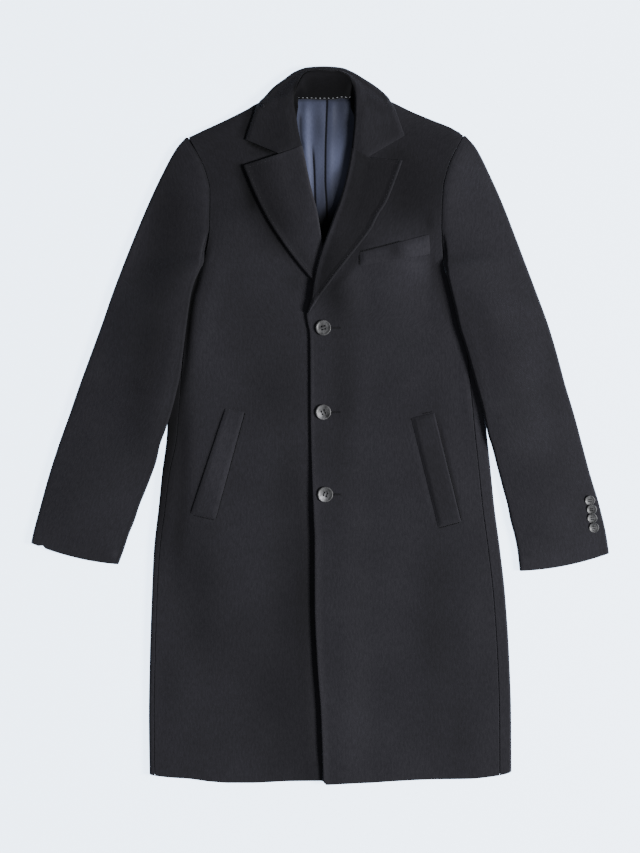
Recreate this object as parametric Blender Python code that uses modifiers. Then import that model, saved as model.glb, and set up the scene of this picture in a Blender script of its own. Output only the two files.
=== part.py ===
"""Single-breasted wool overcoat lying flat on its back, buttoned, sleeves at its sides.

Millimetres in the tables, metres in the scene. +Y runs to the collar, +X to the wearer's left, +Z up off
the surface it lies on. Every piece of cloth is an open surface with a Solidify wall; pieces that lie on
another are built from that piece's own height function, one seam gap above it.
"""

import math

import bpy
import numpy as np

MM = 0.001
CLOTH = 2.6  # wall of the wool cloth
SATIN = 1.0  # wall of the back lining
SEAM = 0.3  # gap left between two pieces that touch
FOLD = 4.1  # outer radius of the folds at the sides and along the sleeves
INNER = 2 * FOLD - CLOTH  # height of a front panel's underside
ROLL = 4.0  # outer radius of the lapel roll
LIP = 6.0  # how far a lapel's lower lip runs in from the roll line
NECK_LIFT = 3.0  # rise of the back over the collar leaf folded under it
BUTTON = (23.0, 3.6)  # front button: width, thickness
CUFF_BUTTON = (15.0, 2.4)
CUFF_TILT = 9.0  # the cuff buttons overlap like shingles

# Armhole seams, underarm to shoulder tip: x, y
ARMHOLE_LEFT = (
    (194.6, 203), (184.6, 248), (182, 300), (184, 352), (193, 390), (205, 416), (215, 434),
)
ARMHOLE_RIGHT = (
    (-190.5, 205), (-173, 250), (-165.5, 300), (-165, 350), (-172, 382), (-184, 408), (-197, 431),
)

# Side folds of the body, hem to underarm: y, fold x, width of back cloth turned to the front,
# bend in degrees
SIDE_LEFT = (
    (-520, 287, 18, 180), (-434, 286.5, 18, 180), (-344, 283.5, 18, 180), (-254, 277.5, 18, 180),
    (-164, 268.5, 18, 180), (-74, 256.5, 18, 180), (-17, 250.5, 18, 180), (61, 243, 18, 180),
    (130, 237, 18, 180), (157, 231.5, 15, 180), (172, 228, 12, 180), (186, 214, 5, 60),
)
SIDE_RIGHT = (
    (-520, -255, 8, 180), (-434, -256.5, 8, 180), (-344, -255, 8, 180), (-254, -252, 8, 180),
    (-164, -247.5, 9, 180), (-74, -237, 11, 180), (-17, -229.8, 15, 180), (61, -226, 17, 180),
    (130, -220, 17, 180), (157, -216, 14, 180), (172, -213, 11, 180), (186, -204, 5, 60),
)

# Shoulder lines, tip to neck: x, y
SHOULDER_LEFT = ((215, 434), (196.5, 446), (166.5, 458), (138, 469), (120, 472.5), (103, 474.5))
SHOULDER_RIGHT = ((-197, 431), (-178, 440.5), (-153, 452), (-127, 463.5), (-108, 469.3), (-91, 471.5))

# Front edge of the left front and hidden edge of the right front: y, x
EDGE_LEFT = (
    (-540, 10.5), (-431, 1), (-352, -5), (-263, -9), (-172, -9), (-66, -13), (18, -16.5), (114, -17.5),
    (174, -21),
)
EDGE_RIGHT = ((-540, 27), (-352, 27), (-66, 27), (174, 26))

# Roll lines of the lapels: y, x
ROLL_LEFT = (
    (186, -20.2), (196, -19), (226, -12), (262, 0), (290, 13), (310.5, 20.5), (341.5, 31), (383, 41.5),
    (415, 47),
)
ROLL_RIGHT = (
    (186, 23), (196, 21), (226, 13.5), (262, 6), (290, 1), (316, -3), (347, -11), (373, -17), (403.5, -25),
    (418, -28.5),
)

# Necklines of the fronts above the lapels, hidden under the collar: y, x
NECK_LEFT = ((415, 53.6), (426, 56.8), (437, 58), (460, 62.5), (469, 74), (475.5, 92))
NECK_RIGHT = ((418, -35.1), (428, -38.4), (437, -40), (460, -46.5), (467, -58), (473.5, -80))

# Outer edges of the lapels, break to tip: y, x
LAPEL_EDGE_LEFT = (
    (187, -8), (194, 0), (207, 10.5), (228, 26), (251, 44), (274, 62), (295, 77.5), (316, 88), (334, 99.5),
    (362, 111), (396, 123.5),
)
LAPEL_EDGE_RIGHT = (
    (187, 17), (194, 12), (207, -0.5), (221, -14.5), (246, -35.5), (274, -56), (310.5, -79.5), (352, -100),
    (389, -115),
)
# Top row of each lapel: roll x, y; notch x, y; tip x, y
NOTCH_LEFT = (47, 415, 73.5, 400.5, 123.5, 396)
NOTCH_RIGHT = (-28.5, 418, -60, 403, -115, 389)

# Hem: x, y
HEM = (
    (-256, -523), (-225, -527), (-195, -529), (-165, -533), (-135, -535), (-105, -535), (-45, -532.5),
    (7, -532), (9, -538), (45, -536), (75, -535), (105, -533), (165, -530), (225, -529), (255, -526),
    (288, -520),
)

# Sleeves, underarm to cuff below the armhole: inner x, y; outer x, y; inner bend; height
SLEEVE_LEFT = (
    (214, 128, 347, 134, 180, 8.2), (232, 64, 366, 66, 180, 8.2), (250.5, -16, 390.5, -19, 180, 8.2),
    (268.5, -74, 408.5, -83, 180, 8.2), (285, -142, 422, -135, 180, 8.2), (299, -217, 433, -190, 180, 8.2),
)
SLEEVE_RIGHT = (
    (-204, 121, -339, 120, 180, 8.2), (-216, 48, -362, 55, 180, 8.2), (-232.5, -10, -383, -5, 180, 8.2),
    (-255, -83, -404.5, -67, 180, 8.2), (-279, -146, -422, -131, 180, 8.2),
    (-302, -208, -433, -176, 180, 8.2),
)
# The same sleeves beside the armhole, underarm to shoulder tip: outer x, y; inner bend; height
CAP_LEFT = (
    (323, 204, 180, 8.2), (307.5, 244, 60, 8.2), (289, 294, 0, 8.2), (266, 349, 0, 8.2),
    (246.5, 391, 0, 8.2), (234, 416, 0, 7.6), (220, 433.5, 0, 5.6),
)
CAP_RIGHT = (
    (-309, 204, 180, 8.2), (-293, 247, 60, 8.2), (-272, 299, 0, 8.2), (-249, 351, 0, 8.2),
    (-231, 387, 0, 8.2), (-217, 412, 0, 7.6), (-201, 431.5, 0, 5.6),
)

# Collar, from the end at negative x round the back neck to the other end: fold x, y, z; leaf edge x, y;
# bend there in degrees; edge of the leaf's turned part x, y; stand's direction, then three times run in, z
COLLAR = (
    (-32.5, 418, 13.6, -114, 430, 0, -114, 430, 0, 5.3, 13.6, 5.3, 5.6, -2, 5.6),
    (-34.5, 437, 14.2, -108.5, 447, 0, -108.5, 447, -3, 5.3, 14.2, 5.3, 5.9, -2, 5.9),
    (-39, 462, 15.4, -100, 469, 0, -100, 469, -8, 5.3, 15.4, 5.3, 6.6, -1, 6.6),
    (-42.5, 478, 16.4, -95.5, 481.5, 90, -91, 474, -14, 5.3, 16.4, 6, 9.4, 4, 8.4),
    (-43, 490, 16.4, -84, 491.5, 180, -78.5, 485.5, -22, 5.3, 16.4, 6.6, 12, 7, 9.0),
    (-41, 503, 15.6, -71, 506, 180, -60, 488, -60, 6, 15.6, 9, 11.2, 18, 10.8),
    (-35, 516, 14.2, -54, 518.7, 180, -40, 488, -68, 7, 14.2, 14, 11.2, 31, 10.8),
    (-26, 526, 12.6, -37.5, 530.2, 180, -28, 487, -77, 8, 12.6, 18, 11.2, 40, 10.8),
    (-12, 531.5, 11.4, -18, 536.6, 180, -13, 487, -84, 12, 11.4, 26, 11.2, 44.5, 10.8),
    (6, 532.5, 11, 6, 538, 180, 6, 487, -90, 12, 11, 28, 11.2, 45.5, 10.8),
    (24, 531.5, 11.4, 30, 536.4, 180, 25, 487, -96, 12, 11.4, 26, 11.2, 44.5, 10.8),
    (38, 526.5, 12.6, 49, 529.6, 180, 40, 487, -103, 8, 12.6, 18, 11.2, 40, 10.8),
    (47.5, 516.5, 14.2, 66, 519.6, 180, 53, 488, -112, 7, 14.2, 14, 11.2, 31, 10.8),
    (54, 503.5, 15.6, 83, 508.6, 180, 72, 488, -120, 6, 15.6, 9, 11.2, 18.5, 10.8),
    (56, 490.5, 16.4, 97, 497, 180, 91, 487.5, -158, 5.3, 16.4, 6.6, 12, 7, 9.0),
    (55.8, 478, 16.4, 107.3, 484.5, 90, 103, 477, -166, 5.3, 16.4, 6, 9.4, 4, 8.4),
    (55.2, 460, 15.4, 113.5, 470, 0, 113.5, 470, -172, 5.3, 15.4, 5.3, 6.6, -1, 6.6),
    (53.5, 436, 14.2, 120, 452, 0, 120, 452, -177, 5.3, 14.2, 5.3, 5.9, -2, 5.9),
    (51, 415, 13.6, 126.5, 433, 0, 126.5, 433, -180, 5.3, 13.6, 5.3, 5.6, -2, 5.6),
)
# Dip of the leaf's front edge at each end: share of its width, depth
COLLAR_NOTCH = ((0.36, -19), (0.3, -20))

# Welts, corners bottom-left, bottom-right, top-right, top-left: x, y
WELTS = {
    "chest_welt": ((60, 239), (165, 257), (163, 286), (60, 259)),
    "hip_welt_left": ((177, -152), (211, -143), (171, 19), (136.5, 11)),
    "hip_welt_right": ((-193.5, -131), (-156, -140), (-112.5, 21), (-144, 25.5)),
}
FRONT_BUTTONS = ((5, 146), (5, 20), (8, -103))
CUFF_BUTTONS = ((405, -112), (408, -126), (410, -139.8), (412.5, -153.4))

NAVY = (0.09, 0.12, 0.19)
CHARCOAL = (0.022, 0.022, 0.027)
HORN = (0.12, 0.12, 0.13)


def ease(t):
    """Smooth step from 0 to 1."""
    t = np.clip(t, 0.0, 1.0)
    return t * t * (3.0 - 2.0 * t)


def smooth(keys, steps):
    """Rows through the key rows by a monotone cubic on the row number, `steps` rows to each interval."""
    keys = np.array(keys, float)
    slope = np.diff(keys, axis=0)
    before, after = slope[:-1], slope[1:]
    same = before * after > 0
    middle = np.where(same, 2 * before * after / np.where(same, before + after, 1.0), 0.0)
    tangent = np.vstack([slope[:1], middle, slope[-1:]])
    at = np.linspace(0, len(keys) - 1, (len(keys) - 1) * steps + 1)
    i = np.minimum(at.astype(int), len(keys) - 2)
    t = (at - i)[:, None]
    return (
        (2 * t**3 - 3 * t**2 + 1) * keys[i]
        + (t**3 - 2 * t**2 + t) * tangent[i]
        + (3 * t**2 - 2 * t**3) * keys[i + 1]
        + (t**3 - t**2) * tangent[i + 1]
    )


def along(table, y):
    """Second column of a table at heights y, by straight runs between its rows."""
    table = np.array(table, float)
    return np.interp(y, table[:, 0], table[:, 1])


ROLL_LEFT_AT = smooth(ROLL_LEFT, 4)
ROLL_RIGHT_AT = smooth(ROLL_RIGHT, 4)


def waves(x, y):
    """Soft rise and fall of the cloth, at most about a millimetre, none near the front edge or the hem."""
    side = ease((np.abs(x) - 60) / 60)
    folds = np.sin(x / 41 + y / 160) * 0.35 + np.sin(x / 67 - y / 95 + 1.3) * 0.4
    return (0.4 + folds) * side * ease((212 - np.abs(x)) / 50) * ease((y + 500) / 90) * ease((380 - y) / 60)


def shoulder_drop(x, y):
    """How far a front sinks to the back along the shoulder line."""
    left = np.array(SHOULDER_LEFT, float)[::-1]
    right = np.array(SHOULDER_RIGHT, float)
    line = np.vstack([right[:1] - (60, 32), right, (0, 560), left, left[-1:] + (60, -32)])
    inside = (np.interp(x, line[:, 0], line[:, 1]) - y) * 0.9
    return (INNER - CLOTH - SEAM) * (1 - np.sin(np.clip(inside / 14, 0, 1) * math.pi / 2))


def neck_lift(y):
    return NECK_LIFT * ease((y - 450) / 26)


def right_base(x, y):
    """Underside of the right front."""
    return INNER + neck_lift(y) - shoulder_drop(x, y) + waves(x, y)


def left_base(x, y):
    """Underside of the left front: one layer up over the right front, two over the right lapel."""
    layer = CLOTH + SEAM
    over_front = ease((80 - x) / 52) * ease((345 - y) / 50)
    roll = np.interp(y, ROLL_RIGHT_AT[:, 0], ROLL_RIGHT_AT[:, 1])
    over_lapel = ease((roll + 52 - x) / 50) * ease((y - 158) / 26) * ease((345 - y) / 50)
    return right_base(x, y) + layer * (over_front + over_lapel)


def armhole(way):
    """Armhole edge of the body: the sleeve's seam, a little under the sleeve towards the underarm."""
    seam = smooth(ARMHOLE_LEFT if way > 0 else ARMHOLE_RIGHT, 2)
    seam[:, 0] += way * (4.0 * ease((234 - seam[:, 1]) / 20) - SEAM)
    return seam


def bend_strip(length, degrees, lip, arc_steps, lip_steps):
    """A strip that bends down evenly over `length` and runs on straight for `lip`: out and down."""
    angle = max(math.radians(degrees), 1e-6)
    a = np.linspace(0, 1, arc_steps + 1) * angle
    out = length / angle * np.sin(a)
    down = length / angle * (1 - np.cos(a))
    run = np.linspace(0, lip, lip_steps + 1)[1:]
    out = np.append(out, out[-1] + run * math.cos(angle))
    down = np.append(down, down[-1] + run * math.sin(angle))
    return out, down


def sheet(name, grid, wall, material, flip=False):
    """An open surface through a grid of points in mm, outer side up the normals, given its wall inwards."""
    grid = np.asarray(grid, float)
    if flip:
        grid = grid[:, ::-1]
    rows, columns = grid.shape[:2]
    index = np.arange(rows * columns).reshape(rows, columns)
    corners = np.stack([index[:-1, :-1], index[:-1, 1:], index[1:, 1:], index[1:, :-1]], axis=-1)
    mesh = bpy.data.meshes.new(name)
    mesh.from_pydata((grid.reshape(-1, 3) * MM).tolist(), [], corners.reshape(-1, 4).tolist())
    mesh.update()
    made = bpy.data.objects.new(name, mesh)
    made.data.materials.append(material)
    parts.objects.link(made)
    solidify = made.modifiers.new("wall", "SOLIDIFY")
    solidify.thickness = wall * MM
    solidify.offset = -1.0
    solidify.use_even_offset = True
    solidify.thickness_clamp = 1.0
    for face in mesh.polygons:
        face.use_smooth = True
    return made


def principled(name, colour, roughness, sheen=0.0):
    material = bpy.data.materials.new(name)
    material.use_nodes = True
    shader = material.node_tree.nodes["Principled BSDF"]
    shader.inputs["Base Color"].default_value = (*colour, 1.0)
    shader.inputs["Roughness"].default_value = roughness
    shader.inputs["Sheen Weight"].default_value = sheen
    return material


def hem_shift(grid, short=0.0):
    """Moves the lowest rows on to the hem line."""
    hem = np.array(HEM, float)
    line = np.interp(grid[..., 0], hem[:, 0], hem[:, 1]) + short
    share = np.clip((-344 - grid[..., 1]) / (520 - 344), 0, 1) ** 2
    grid[..., 1] += (line + 520) * share
    return grid


def front(side):
    """Rows from the front edge, roll line or neckline to the side seam, armhole or shoulder line."""
    left = side == "left"
    sides = smooth(SIDE_LEFT if left else SIDE_RIGHT, 1)
    way = 1 if left else -1
    seams = np.column_stack([sides[:, 1] - way * (sides[:, 2] + SEAM), sides[:, 0]])
    seams[-2:, 0] -= way * np.array([1.5, 3.0])
    arm = armhole(way)
    shoulder = smooth(SHOULDER_LEFT if left else SHOULDER_RIGHT, 1)[1:]
    outer = np.vstack([seams, arm, shoulder])
    edge = EDGE_LEFT if left else EDGE_RIGHT
    roll = ROLL_LEFT_AT if left else ROLL_RIGHT_AT
    neck = NECK_LEFT if left else NECK_RIGHT
    x, y = outer[:, 0], outer[:, 1]
    inner = np.where(y < 180, along(edge, y), along(roll, y) + way * (LIP + 3 * SEAM))
    inner = np.where(y > neck[0][0], along(neck, y), inner)
    share = np.array([0, 0.07, 0.14, 0.21, 0.29, 0.42, 0.56, 0.7, 0.84, 0.95, 1.0])
    gx = inner[:, None] + (x - inner)[:, None] * share
    gy = np.repeat(y[:, None], len(share), axis=1)
    grid = hem_shift(np.stack([gx, gy, gx * 0], axis=-1))
    base = left_base if left else right_base
    grid[..., 2] = base(grid[..., 0], grid[..., 1]) + CLOTH
    return sheet("front_" + side, grid, CLOTH, wool, flip=not left)


def back():
    """Flat on the surface; it bends up and over to the side seams, and stays open at the armholes."""
    rows = []
    ends = []
    for way, folds, shoulder in ((-1, SIDE_RIGHT, SHOULDER_RIGHT), (1, SIDE_LEFT, SHOULDER_LEFT)):
        table = [(x, y, strip - FOLD, bend) for y, x, strip, bend in smooth(folds, 1)]
        table += [(x, y, 8.0, 0) for x, y in armhole(way)]
        table += [(x, y, 8.0, 0) for x, y in smooth(shoulder, 1)[1:]]
        ends.append(np.array(table))
    for right, left in zip(*ends):
        halves = []
        for way, (x, y, lip, bend) in ((-1, right), (1, left)):
            out, up = bend_strip(math.pi * FOLD, bend, max(lip, 1.0), 4, 1)
            out -= out.max()
            halves.append((x + way * out, np.full_like(out, y), up))
        (rx, ry, rz), (lx, ly, lz) = halves
        t = np.linspace(0, 1, 8)[1:-1]
        mx = rx[0] + (lx[0] - rx[0]) * t
        my = ry[0] + (ly[0] - ry[0]) * t
        row = np.vstack([
            np.column_stack([rx, ry, rz])[::-1],
            np.column_stack([mx, my, 0 * t]),
            np.column_stack([lx, ly, lz]),
        ])
        rows.append(row)
    grid = hem_shift(np.array(rows))
    grid[..., 2] += neck_lift(grid[..., 1])
    return sheet("back", grid, CLOTH, wool, flip=True)


def body_fold(way, y):
    """Outermost x of the body's side under a sleeve."""
    folds = np.array(SIDE_LEFT if way > 0 else SIDE_RIGHT, float)
    arm = np.array(ARMHOLE_LEFT if way > 0 else ARMHOLE_RIGHT, float)
    return np.interp(y, np.append(folds[:, 0], arm[:, 1]), np.append(folds[:, 1], arm[:, 0]))


def sleeve_base(way, x, y):
    """Underside of a sleeve: on the surface, or up on the body where it lies over the side."""
    over = ease((52 - way * (x - body_fold(way, y))) / 36)
    end = -72 if way > 0 else -62
    return (2 * FOLD + 2 * SEAM) * over * ease((262 - y) / 28) * ease((y - end) / 50)


def sleeve(side):
    """Top sleeve bent round both edges, a short return under it; under sleeve between the returns."""
    way = 1 if side == "left" else -1
    arm = np.array(ARMHOLE_LEFT if way > 0 else ARMHOLE_RIGHT, float)
    cap = np.array(CAP_LEFT if way > 0 else CAP_RIGHT, float)
    lower = np.array(SLEEVE_LEFT if way > 0 else SLEEVE_RIGHT, float)
    rows = smooth(np.vstack([lower[::-1], np.hstack([arm, cap])]), 2)
    seam = smooth(arm, 2)
    rows[-len(seam):, :2] = seam + (way * SEAM, 0)
    top, under = [], []
    for ix, iy, ox, oy, bend, height in rows:
        inner, outer = np.array([ix, iy]), np.array([ox, oy])
        wide = np.linalg.norm(outer - inner)
        across = (outer - inner) / wide
        radius = min(height / 2, 0.3 * wide)
        back_run = min(14.0, 0.2 * wide)
        out, down = bend_strip(math.pi * radius, 180, back_run, 4, 1)
        down *= height / 2 / radius
        place = wide - out.max() + out
        flat = bend < 1
        turning = 1 < bend < 175
        lip = 2.0 + (back_run - 2.0) * float(ease((bend - 150) / 30))
        start, drop = bend_strip(math.pi * height / 2 * (0.7 if turning else 1.0), bend, lip, 4, 1)
        if flat:
            start = start / start.max() * min(start.max(), 0.25 * wide)
        place_in = start.max() - start
        t = np.linspace(0, 1, 6)[1:-1]
        middle = place_in[0] + (place[0] - place_in[0]) * t
        where = np.concatenate([place_in[::-1], middle, place])
        z = height - np.concatenate([drop[::-1], 0 * t, down])
        plan = inner + across * where[:, None]
        top.append(np.column_stack([plan, z]))
        under_from = place_in[-1] + SEAM + (9.0 if turning else 0.0)
        under_to = place[-1] - SEAM
        u = under_from + (under_to - under_from) * np.linspace(0, 1, 5)
        under.append(np.column_stack([inner + across * u[:, None], 0 * u]))
    for name, grid, flip in (("top", top, way < 0), ("under", under, way > 0)):
        grid = np.array(grid)
        grid[..., 2] = np.maximum(grid[..., 2], 0) + sleeve_base(way, grid[..., 0], grid[..., 1])
        sheet(f"sleeve_{side}_{name}", grid, CLOTH, wool, flip=flip)


def lapel(side):
    """Lower lip beside the front's edge, round the roll line, and over the front to the outer edge."""
    way = 1 if side == "left" else -1
    roll = ROLL_LEFT_AT if way > 0 else ROLL_RIGHT_AT
    edge = smooth(LAPEL_EDGE_LEFT if way > 0 else LAPEL_EDGE_RIGHT, 4)
    notch = np.array(NOTCH_LEFT if way > 0 else NOTCH_RIGHT, float)
    base = left_base if way > 0 else right_base
    rows = []
    for share in np.linspace(0, 1, 12):
        ry = roll[0, 0] + (roll[-1, 0] - roll[0, 0]) * share
        ey = edge[0, 0] + (edge[-1, 0] - edge[0, 0]) * share
        root = np.array([np.interp(ry, roll[:, 0], roll[:, 1]), ry])
        tip = np.array([np.interp(ey, edge[:, 0], edge[:, 1]), ey])
        plump = ease((ry - 250) / 70)
        low = base(root[0] + way * LIP, ry) + 0.15 * (way > 0)
        flat = 2 * CLOTH + SEAM
        radius = flat / 2 + (ROLL - flat / 2) * plump
        angle = np.linspace(0, math.pi, 6)
        arc_x = root[0] + way * radius * (1 - np.sin(angle))
        arc_z = low + radius * (1 - np.cos(angle))
        start = np.array([arc_x[-1], ry])
        knee = 0.3 if way > 0 else 0.36
        u = np.array([0.1, 0.2, knee, 0.48, 0.65, 0.83, 1.0])
        plan = start + (tip - start) * u[:, None]
        bend = np.array([notch[2], notch[3]])
        line = start + (tip - start) * knee
        plan += (bend - line) * (share > 0.999) * np.interp(u, (0, knee, 1), (0, 1, 0))[:, None]
        reach = np.linalg.norm(plan - start, axis=1)
        z = base(plan[:, 0], plan[:, 1]) + flat + 0.5 * ease((345 - ry) / 40) * (way > 0)
        z = np.maximum(z + (2 * radius - flat) * (1 - ease(reach / 26)), z)
        lip = [[root[0] + way * LIP, ry, low]]
        arc = np.column_stack([arc_x, np.full(6, ry), arc_z])
        if way * (root[0] + way * LIP - arc_x[0]) < 0.4:
            lip[0][0] = arc_x[0] + way * 0.4
        rows.append(np.vstack([lip, arc, np.column_stack([plan, z])]))
    return sheet("lapel_" + side, np.array(rows), CLOTH, wool, flip=way < 0)


def collar():
    """The leaf runs out from the fold over the fronts and turns under behind the neck; the stand goes in."""
    stations = smooth(COLLAR, 1)
    leaf, stand = [], []
    last = len(stations) - 1
    for i, row in enumerate(stations):
        fx, fy, fz, ex, ey, bend, gx, gy, way, in1, z1, in2, z2, in3, z3 = row
        fold, edge, under = np.array([fx, fy]), np.array([ex, ey]), np.array([gx, gy])
        turned = ease(bend / 90)
        out_flat = (edge - fold) / np.linalg.norm(edge - fold)
        gap = np.linalg.norm(edge - under)
        out_turn = (edge - under) / gap if gap > 1 else out_flat
        out = out_flat * (1 - turned) + out_turn * turned
        out /= np.linalg.norm(out)
        seat = right_base if fx < 6 else left_base
        plane = seat(edge[0] - out[0] * 8, edge[1] - out[1] * 8) + 2 * CLOTH + SEAM
        near = edge - out * 7
        over = 2.4 if 0 < bend < 175 else 0.5
        seated = seat(near[0], near[1]) + 2 * CLOTH + SEAM + over if fy < 492 else 0.0
        top = plane * (1 - turned) + max(11.0 + 0.4 * (fy < 500), seated) * turned
        length = top / 2 * max(math.radians(bend), math.pi / 2)
        reach = top / 2 if bend > 90 else length
        lip = max(gap - reach, 1.5) if bend > 150 else 3.0 * (1 - turned) + 1.5
        run, down = bend_strip(length, bend, lip, 5, 2)
        start = edge - out * run.max()
        t = np.array([0, 0.12, 0.25, 0.4, 0.7])
        if i in (0, last):
            wide = np.linalg.norm(edge - fold)
            t[3] = COLLAR_NOTCH[i == last][0] * wide / (wide - run.max())
        plan = np.vstack([fold + (start - fold) * t[:, None], start + out * run[:, None]])
        z = np.concatenate([top + (fz - top) * (1 - ease(t * 1.1)), top - down])
        z = np.maximum(z, 0)
        lies = seat(plan[:, 0], plan[:, 1]) + 2 * CLOTH + SEAM
        if bend < 1:
            z = np.maximum(lies, np.append(z[:5], z[5:] * 0 + lies[5:]))
        elif fy < 492:
            z[:6] = np.maximum(z[:6], lies[:6] + over)
        for end, (knee, depth) in zip((0, last), COLLAR_NOTCH):
            if i == end:
                far = np.linalg.norm(plan - fold, axis=1) / np.linalg.norm(edge - fold)
                plan[:, 1] += np.interp(far, (0, knee, 1), (0, depth, 0)) + 0.5
        leaf.append(np.column_stack([plan, z]))
        angle = math.radians(way)
        inward = np.array([math.cos(angle), math.sin(angle)])
        s = np.linspace(0, 1, 6)[:, None]
        points = np.array([(1.5, fz), (in1, z1), (in2, z2), (in3, z3)])
        curve = (
            (1 - s) ** 3 * points[0]
            + 3 * s * (1 - s) ** 2 * points[1]
            + 3 * s**2 * (1 - s) * points[2]
            + s**3 * points[3]
        )
        curve = np.vstack([[(2.5 * SEAM, fz)], curve])
        root = fold + (0, 0.5 * (i in (0, last)))
        stand.append(np.column_stack([root + inward * curve[:, :1], curve[:, 1]]))
    sheet("collar", np.array(leaf), CLOTH, wool, flip=True)
    sheet("collar_stand", np.array(stand), CLOTH, wool, flip=False)


def lining():
    """Back lining where the neck opening shows it, with its centre pleat and a few soft folds."""
    rows = []
    for y in np.linspace(270, 491, 10):
        left = np.interp(y, ROLL_RIGHT_AT[:, 0], ROLL_RIGHT_AT[:, 1], right=-39) - 14
        right = np.interp(y, ROLL_LEFT_AT[:, 0], ROLL_LEFT_AT[:, 1], right=52) + 14
        middle = (6, 9.5, 10.5, 14)
        x = np.concatenate([np.linspace(left, 6, 5)[:-1], middle, np.linspace(14, right, 4)[1:]])
        pleat = 0.9 * np.exp(-(((x - 8) / 5) ** 2)) + 0.6 * np.exp(-(((x + 14) / 9) ** 2))
        pleat *= ease((y - 300) / 40) * ease((478 - y) / 25)
        z = CLOTH + SEAM + SATIN + neck_lift(y) + 0.5 * ease((y - 425) / 25) + pleat
        rows.append(np.column_stack([x, np.full_like(x, y), z]))
    return sheet("back_lining", np.array(rows), SATIN, satin)


def welt(name, corners):
    """A band of doubled cloth lying on the front, its edges softened."""
    corners = np.array(corners, float)
    seat = left_base if corners[:, 0].mean() > 0 else right_base
    tall = name != "chest_welt"
    u = np.linspace(0, 1, 3 if tall else 7)[None, :, None]
    v = np.linspace(0, 1, 7 if tall else 3)[:, None, None]
    low = corners[0] + (corners[1] - corners[0]) * u
    high = corners[3] + (corners[2] - corners[3]) * u
    plan = low + (high - low) * v
    z = seat(plan[..., 0], plan[..., 1]) + 2 * CLOTH + SEAM + 0.1
    made = sheet(name, np.dstack([plan, z]), CLOTH, wool)
    bevel = made.modifiers.new("soft edge", "BEVEL")
    bevel.width = 0.7 * MM
    bevel.segments = 1
    bevel.limit_method = "ANGLE"
    bevel.angle_limit = math.radians(50)
    return made


def button(name, size, place, tilt=0.0):
    """Turned horn button with a raised rim, a dished middle and four holes."""
    wide, thick = size
    radius = wide / 2
    profile = (
        (0.0, 0.66), (0.52, 0.66), (0.66, 0.88), (0.8, 1.0), (0.93, 0.9), (1.0, 0.6), (0.93, 0.22),
        (0.6, 0.02), (0.0, 0.0),
    )
    points = [(radius * r * MM, 0, thick * h * MM) for r, h in profile]
    mesh = bpy.data.meshes.new(name)
    mesh.from_pydata(points, [(i, i + 1) for i in range(len(points) - 1)], [])
    made = bpy.data.objects.new(name, mesh)
    made.data.materials.append(horn)
    parts.objects.link(made)
    screw = made.modifiers.new("turn", "SCREW")
    screw.axis = "Z"
    screw.steps = screw.render_steps = 18
    screw.use_merge_vertices = True
    screw.merge_threshold = 0.00001
    screw.use_smooth_shade = True
    screw.use_normal_calculate = True
    holes = bpy.data.meshes.new(name + "_holes")
    verts, faces = [], []
    for hx, hy in ((1, 1), (-1, 1), (-1, -1), (1, -1)):
        first = len(verts)
        for k in range(5):
            a = math.tau / 5 * k
            x = radius * (0.16 * hx + 0.075 * math.cos(a)) * MM
            y = radius * (0.16 * hy + 0.075 * math.sin(a)) * MM
            verts += [(x, y, -thick * MM), (x, y, 2 * thick * MM)]
        ring = [first + 2 * k for k in range(5)]
        faces += [ring[::-1], [k + 1 for k in ring]]
        faces += [(ring[k], ring[(k + 1) % 5], ring[(k + 1) % 5] + 1, ring[k] + 1) for k in range(5)]
    holes.from_pydata(verts, [], faces)
    holes.update()
    cutter = bpy.data.objects.new(name + "_holes", holes)
    cutter.hide_render = True
    cutter.display_type = "WIRE"
    cutters.objects.link(cutter)
    cut = made.modifiers.new("holes", "BOOLEAN")
    cut.operation = "DIFFERENCE"
    cut.solver = "EXACT"
    cut.object = cutter
    for item in (made, cutter):
        item.location = [value * MM for value in place]
        item.rotation_euler = (math.radians(tilt), 0, 0)
    return made


for thing in list(bpy.data.objects):
    bpy.data.objects.remove(thing, do_unlink=True)
parts = bpy.data.collections.new("wool_overcoat")
cutters = bpy.data.collections.new("cutters")
for group in (parts, cutters):
    bpy.context.scene.collection.children.link(group)
wool = principled("charcoal_wool", CHARCOAL, 0.95, 0.4)
satin = principled("navy_satin", NAVY, 0.4)
horn = principled("grey_horn", HORN, 0.35)

back()
for side in ("right", "left"):
    front(side)
    sleeve(side)
    lapel(side)
collar()
lining()
for name, corners in WELTS.items():
    welt(name, corners)
for number, (x, y) in enumerate(FRONT_BUTTONS, 1):
    seat = float(max(left_base(x, y), left_base(x, y + 12))) + CLOTH
    button(f"button_front_{number}", BUTTON, (x, y, seat + 0.4))
for number, (x, y) in enumerate(CUFF_BUTTONS, 1):
    button(f"button_cuff_{number}", CUFF_BUTTON, (x, y, 2 * FOLD + 1.0), CUFF_TILT)
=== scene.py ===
"""Wool overcoat lying flat on its back, buttoned, its sleeves at its sides.

Tables and shapes are in millimetres, +Y to the collar, +X to the wearer's left, +Z up off the surface; meshes
are made in metres. Each piece of cloth is a closed wall with half-round edges round a mid-surface of its own.
"""

import math

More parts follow.
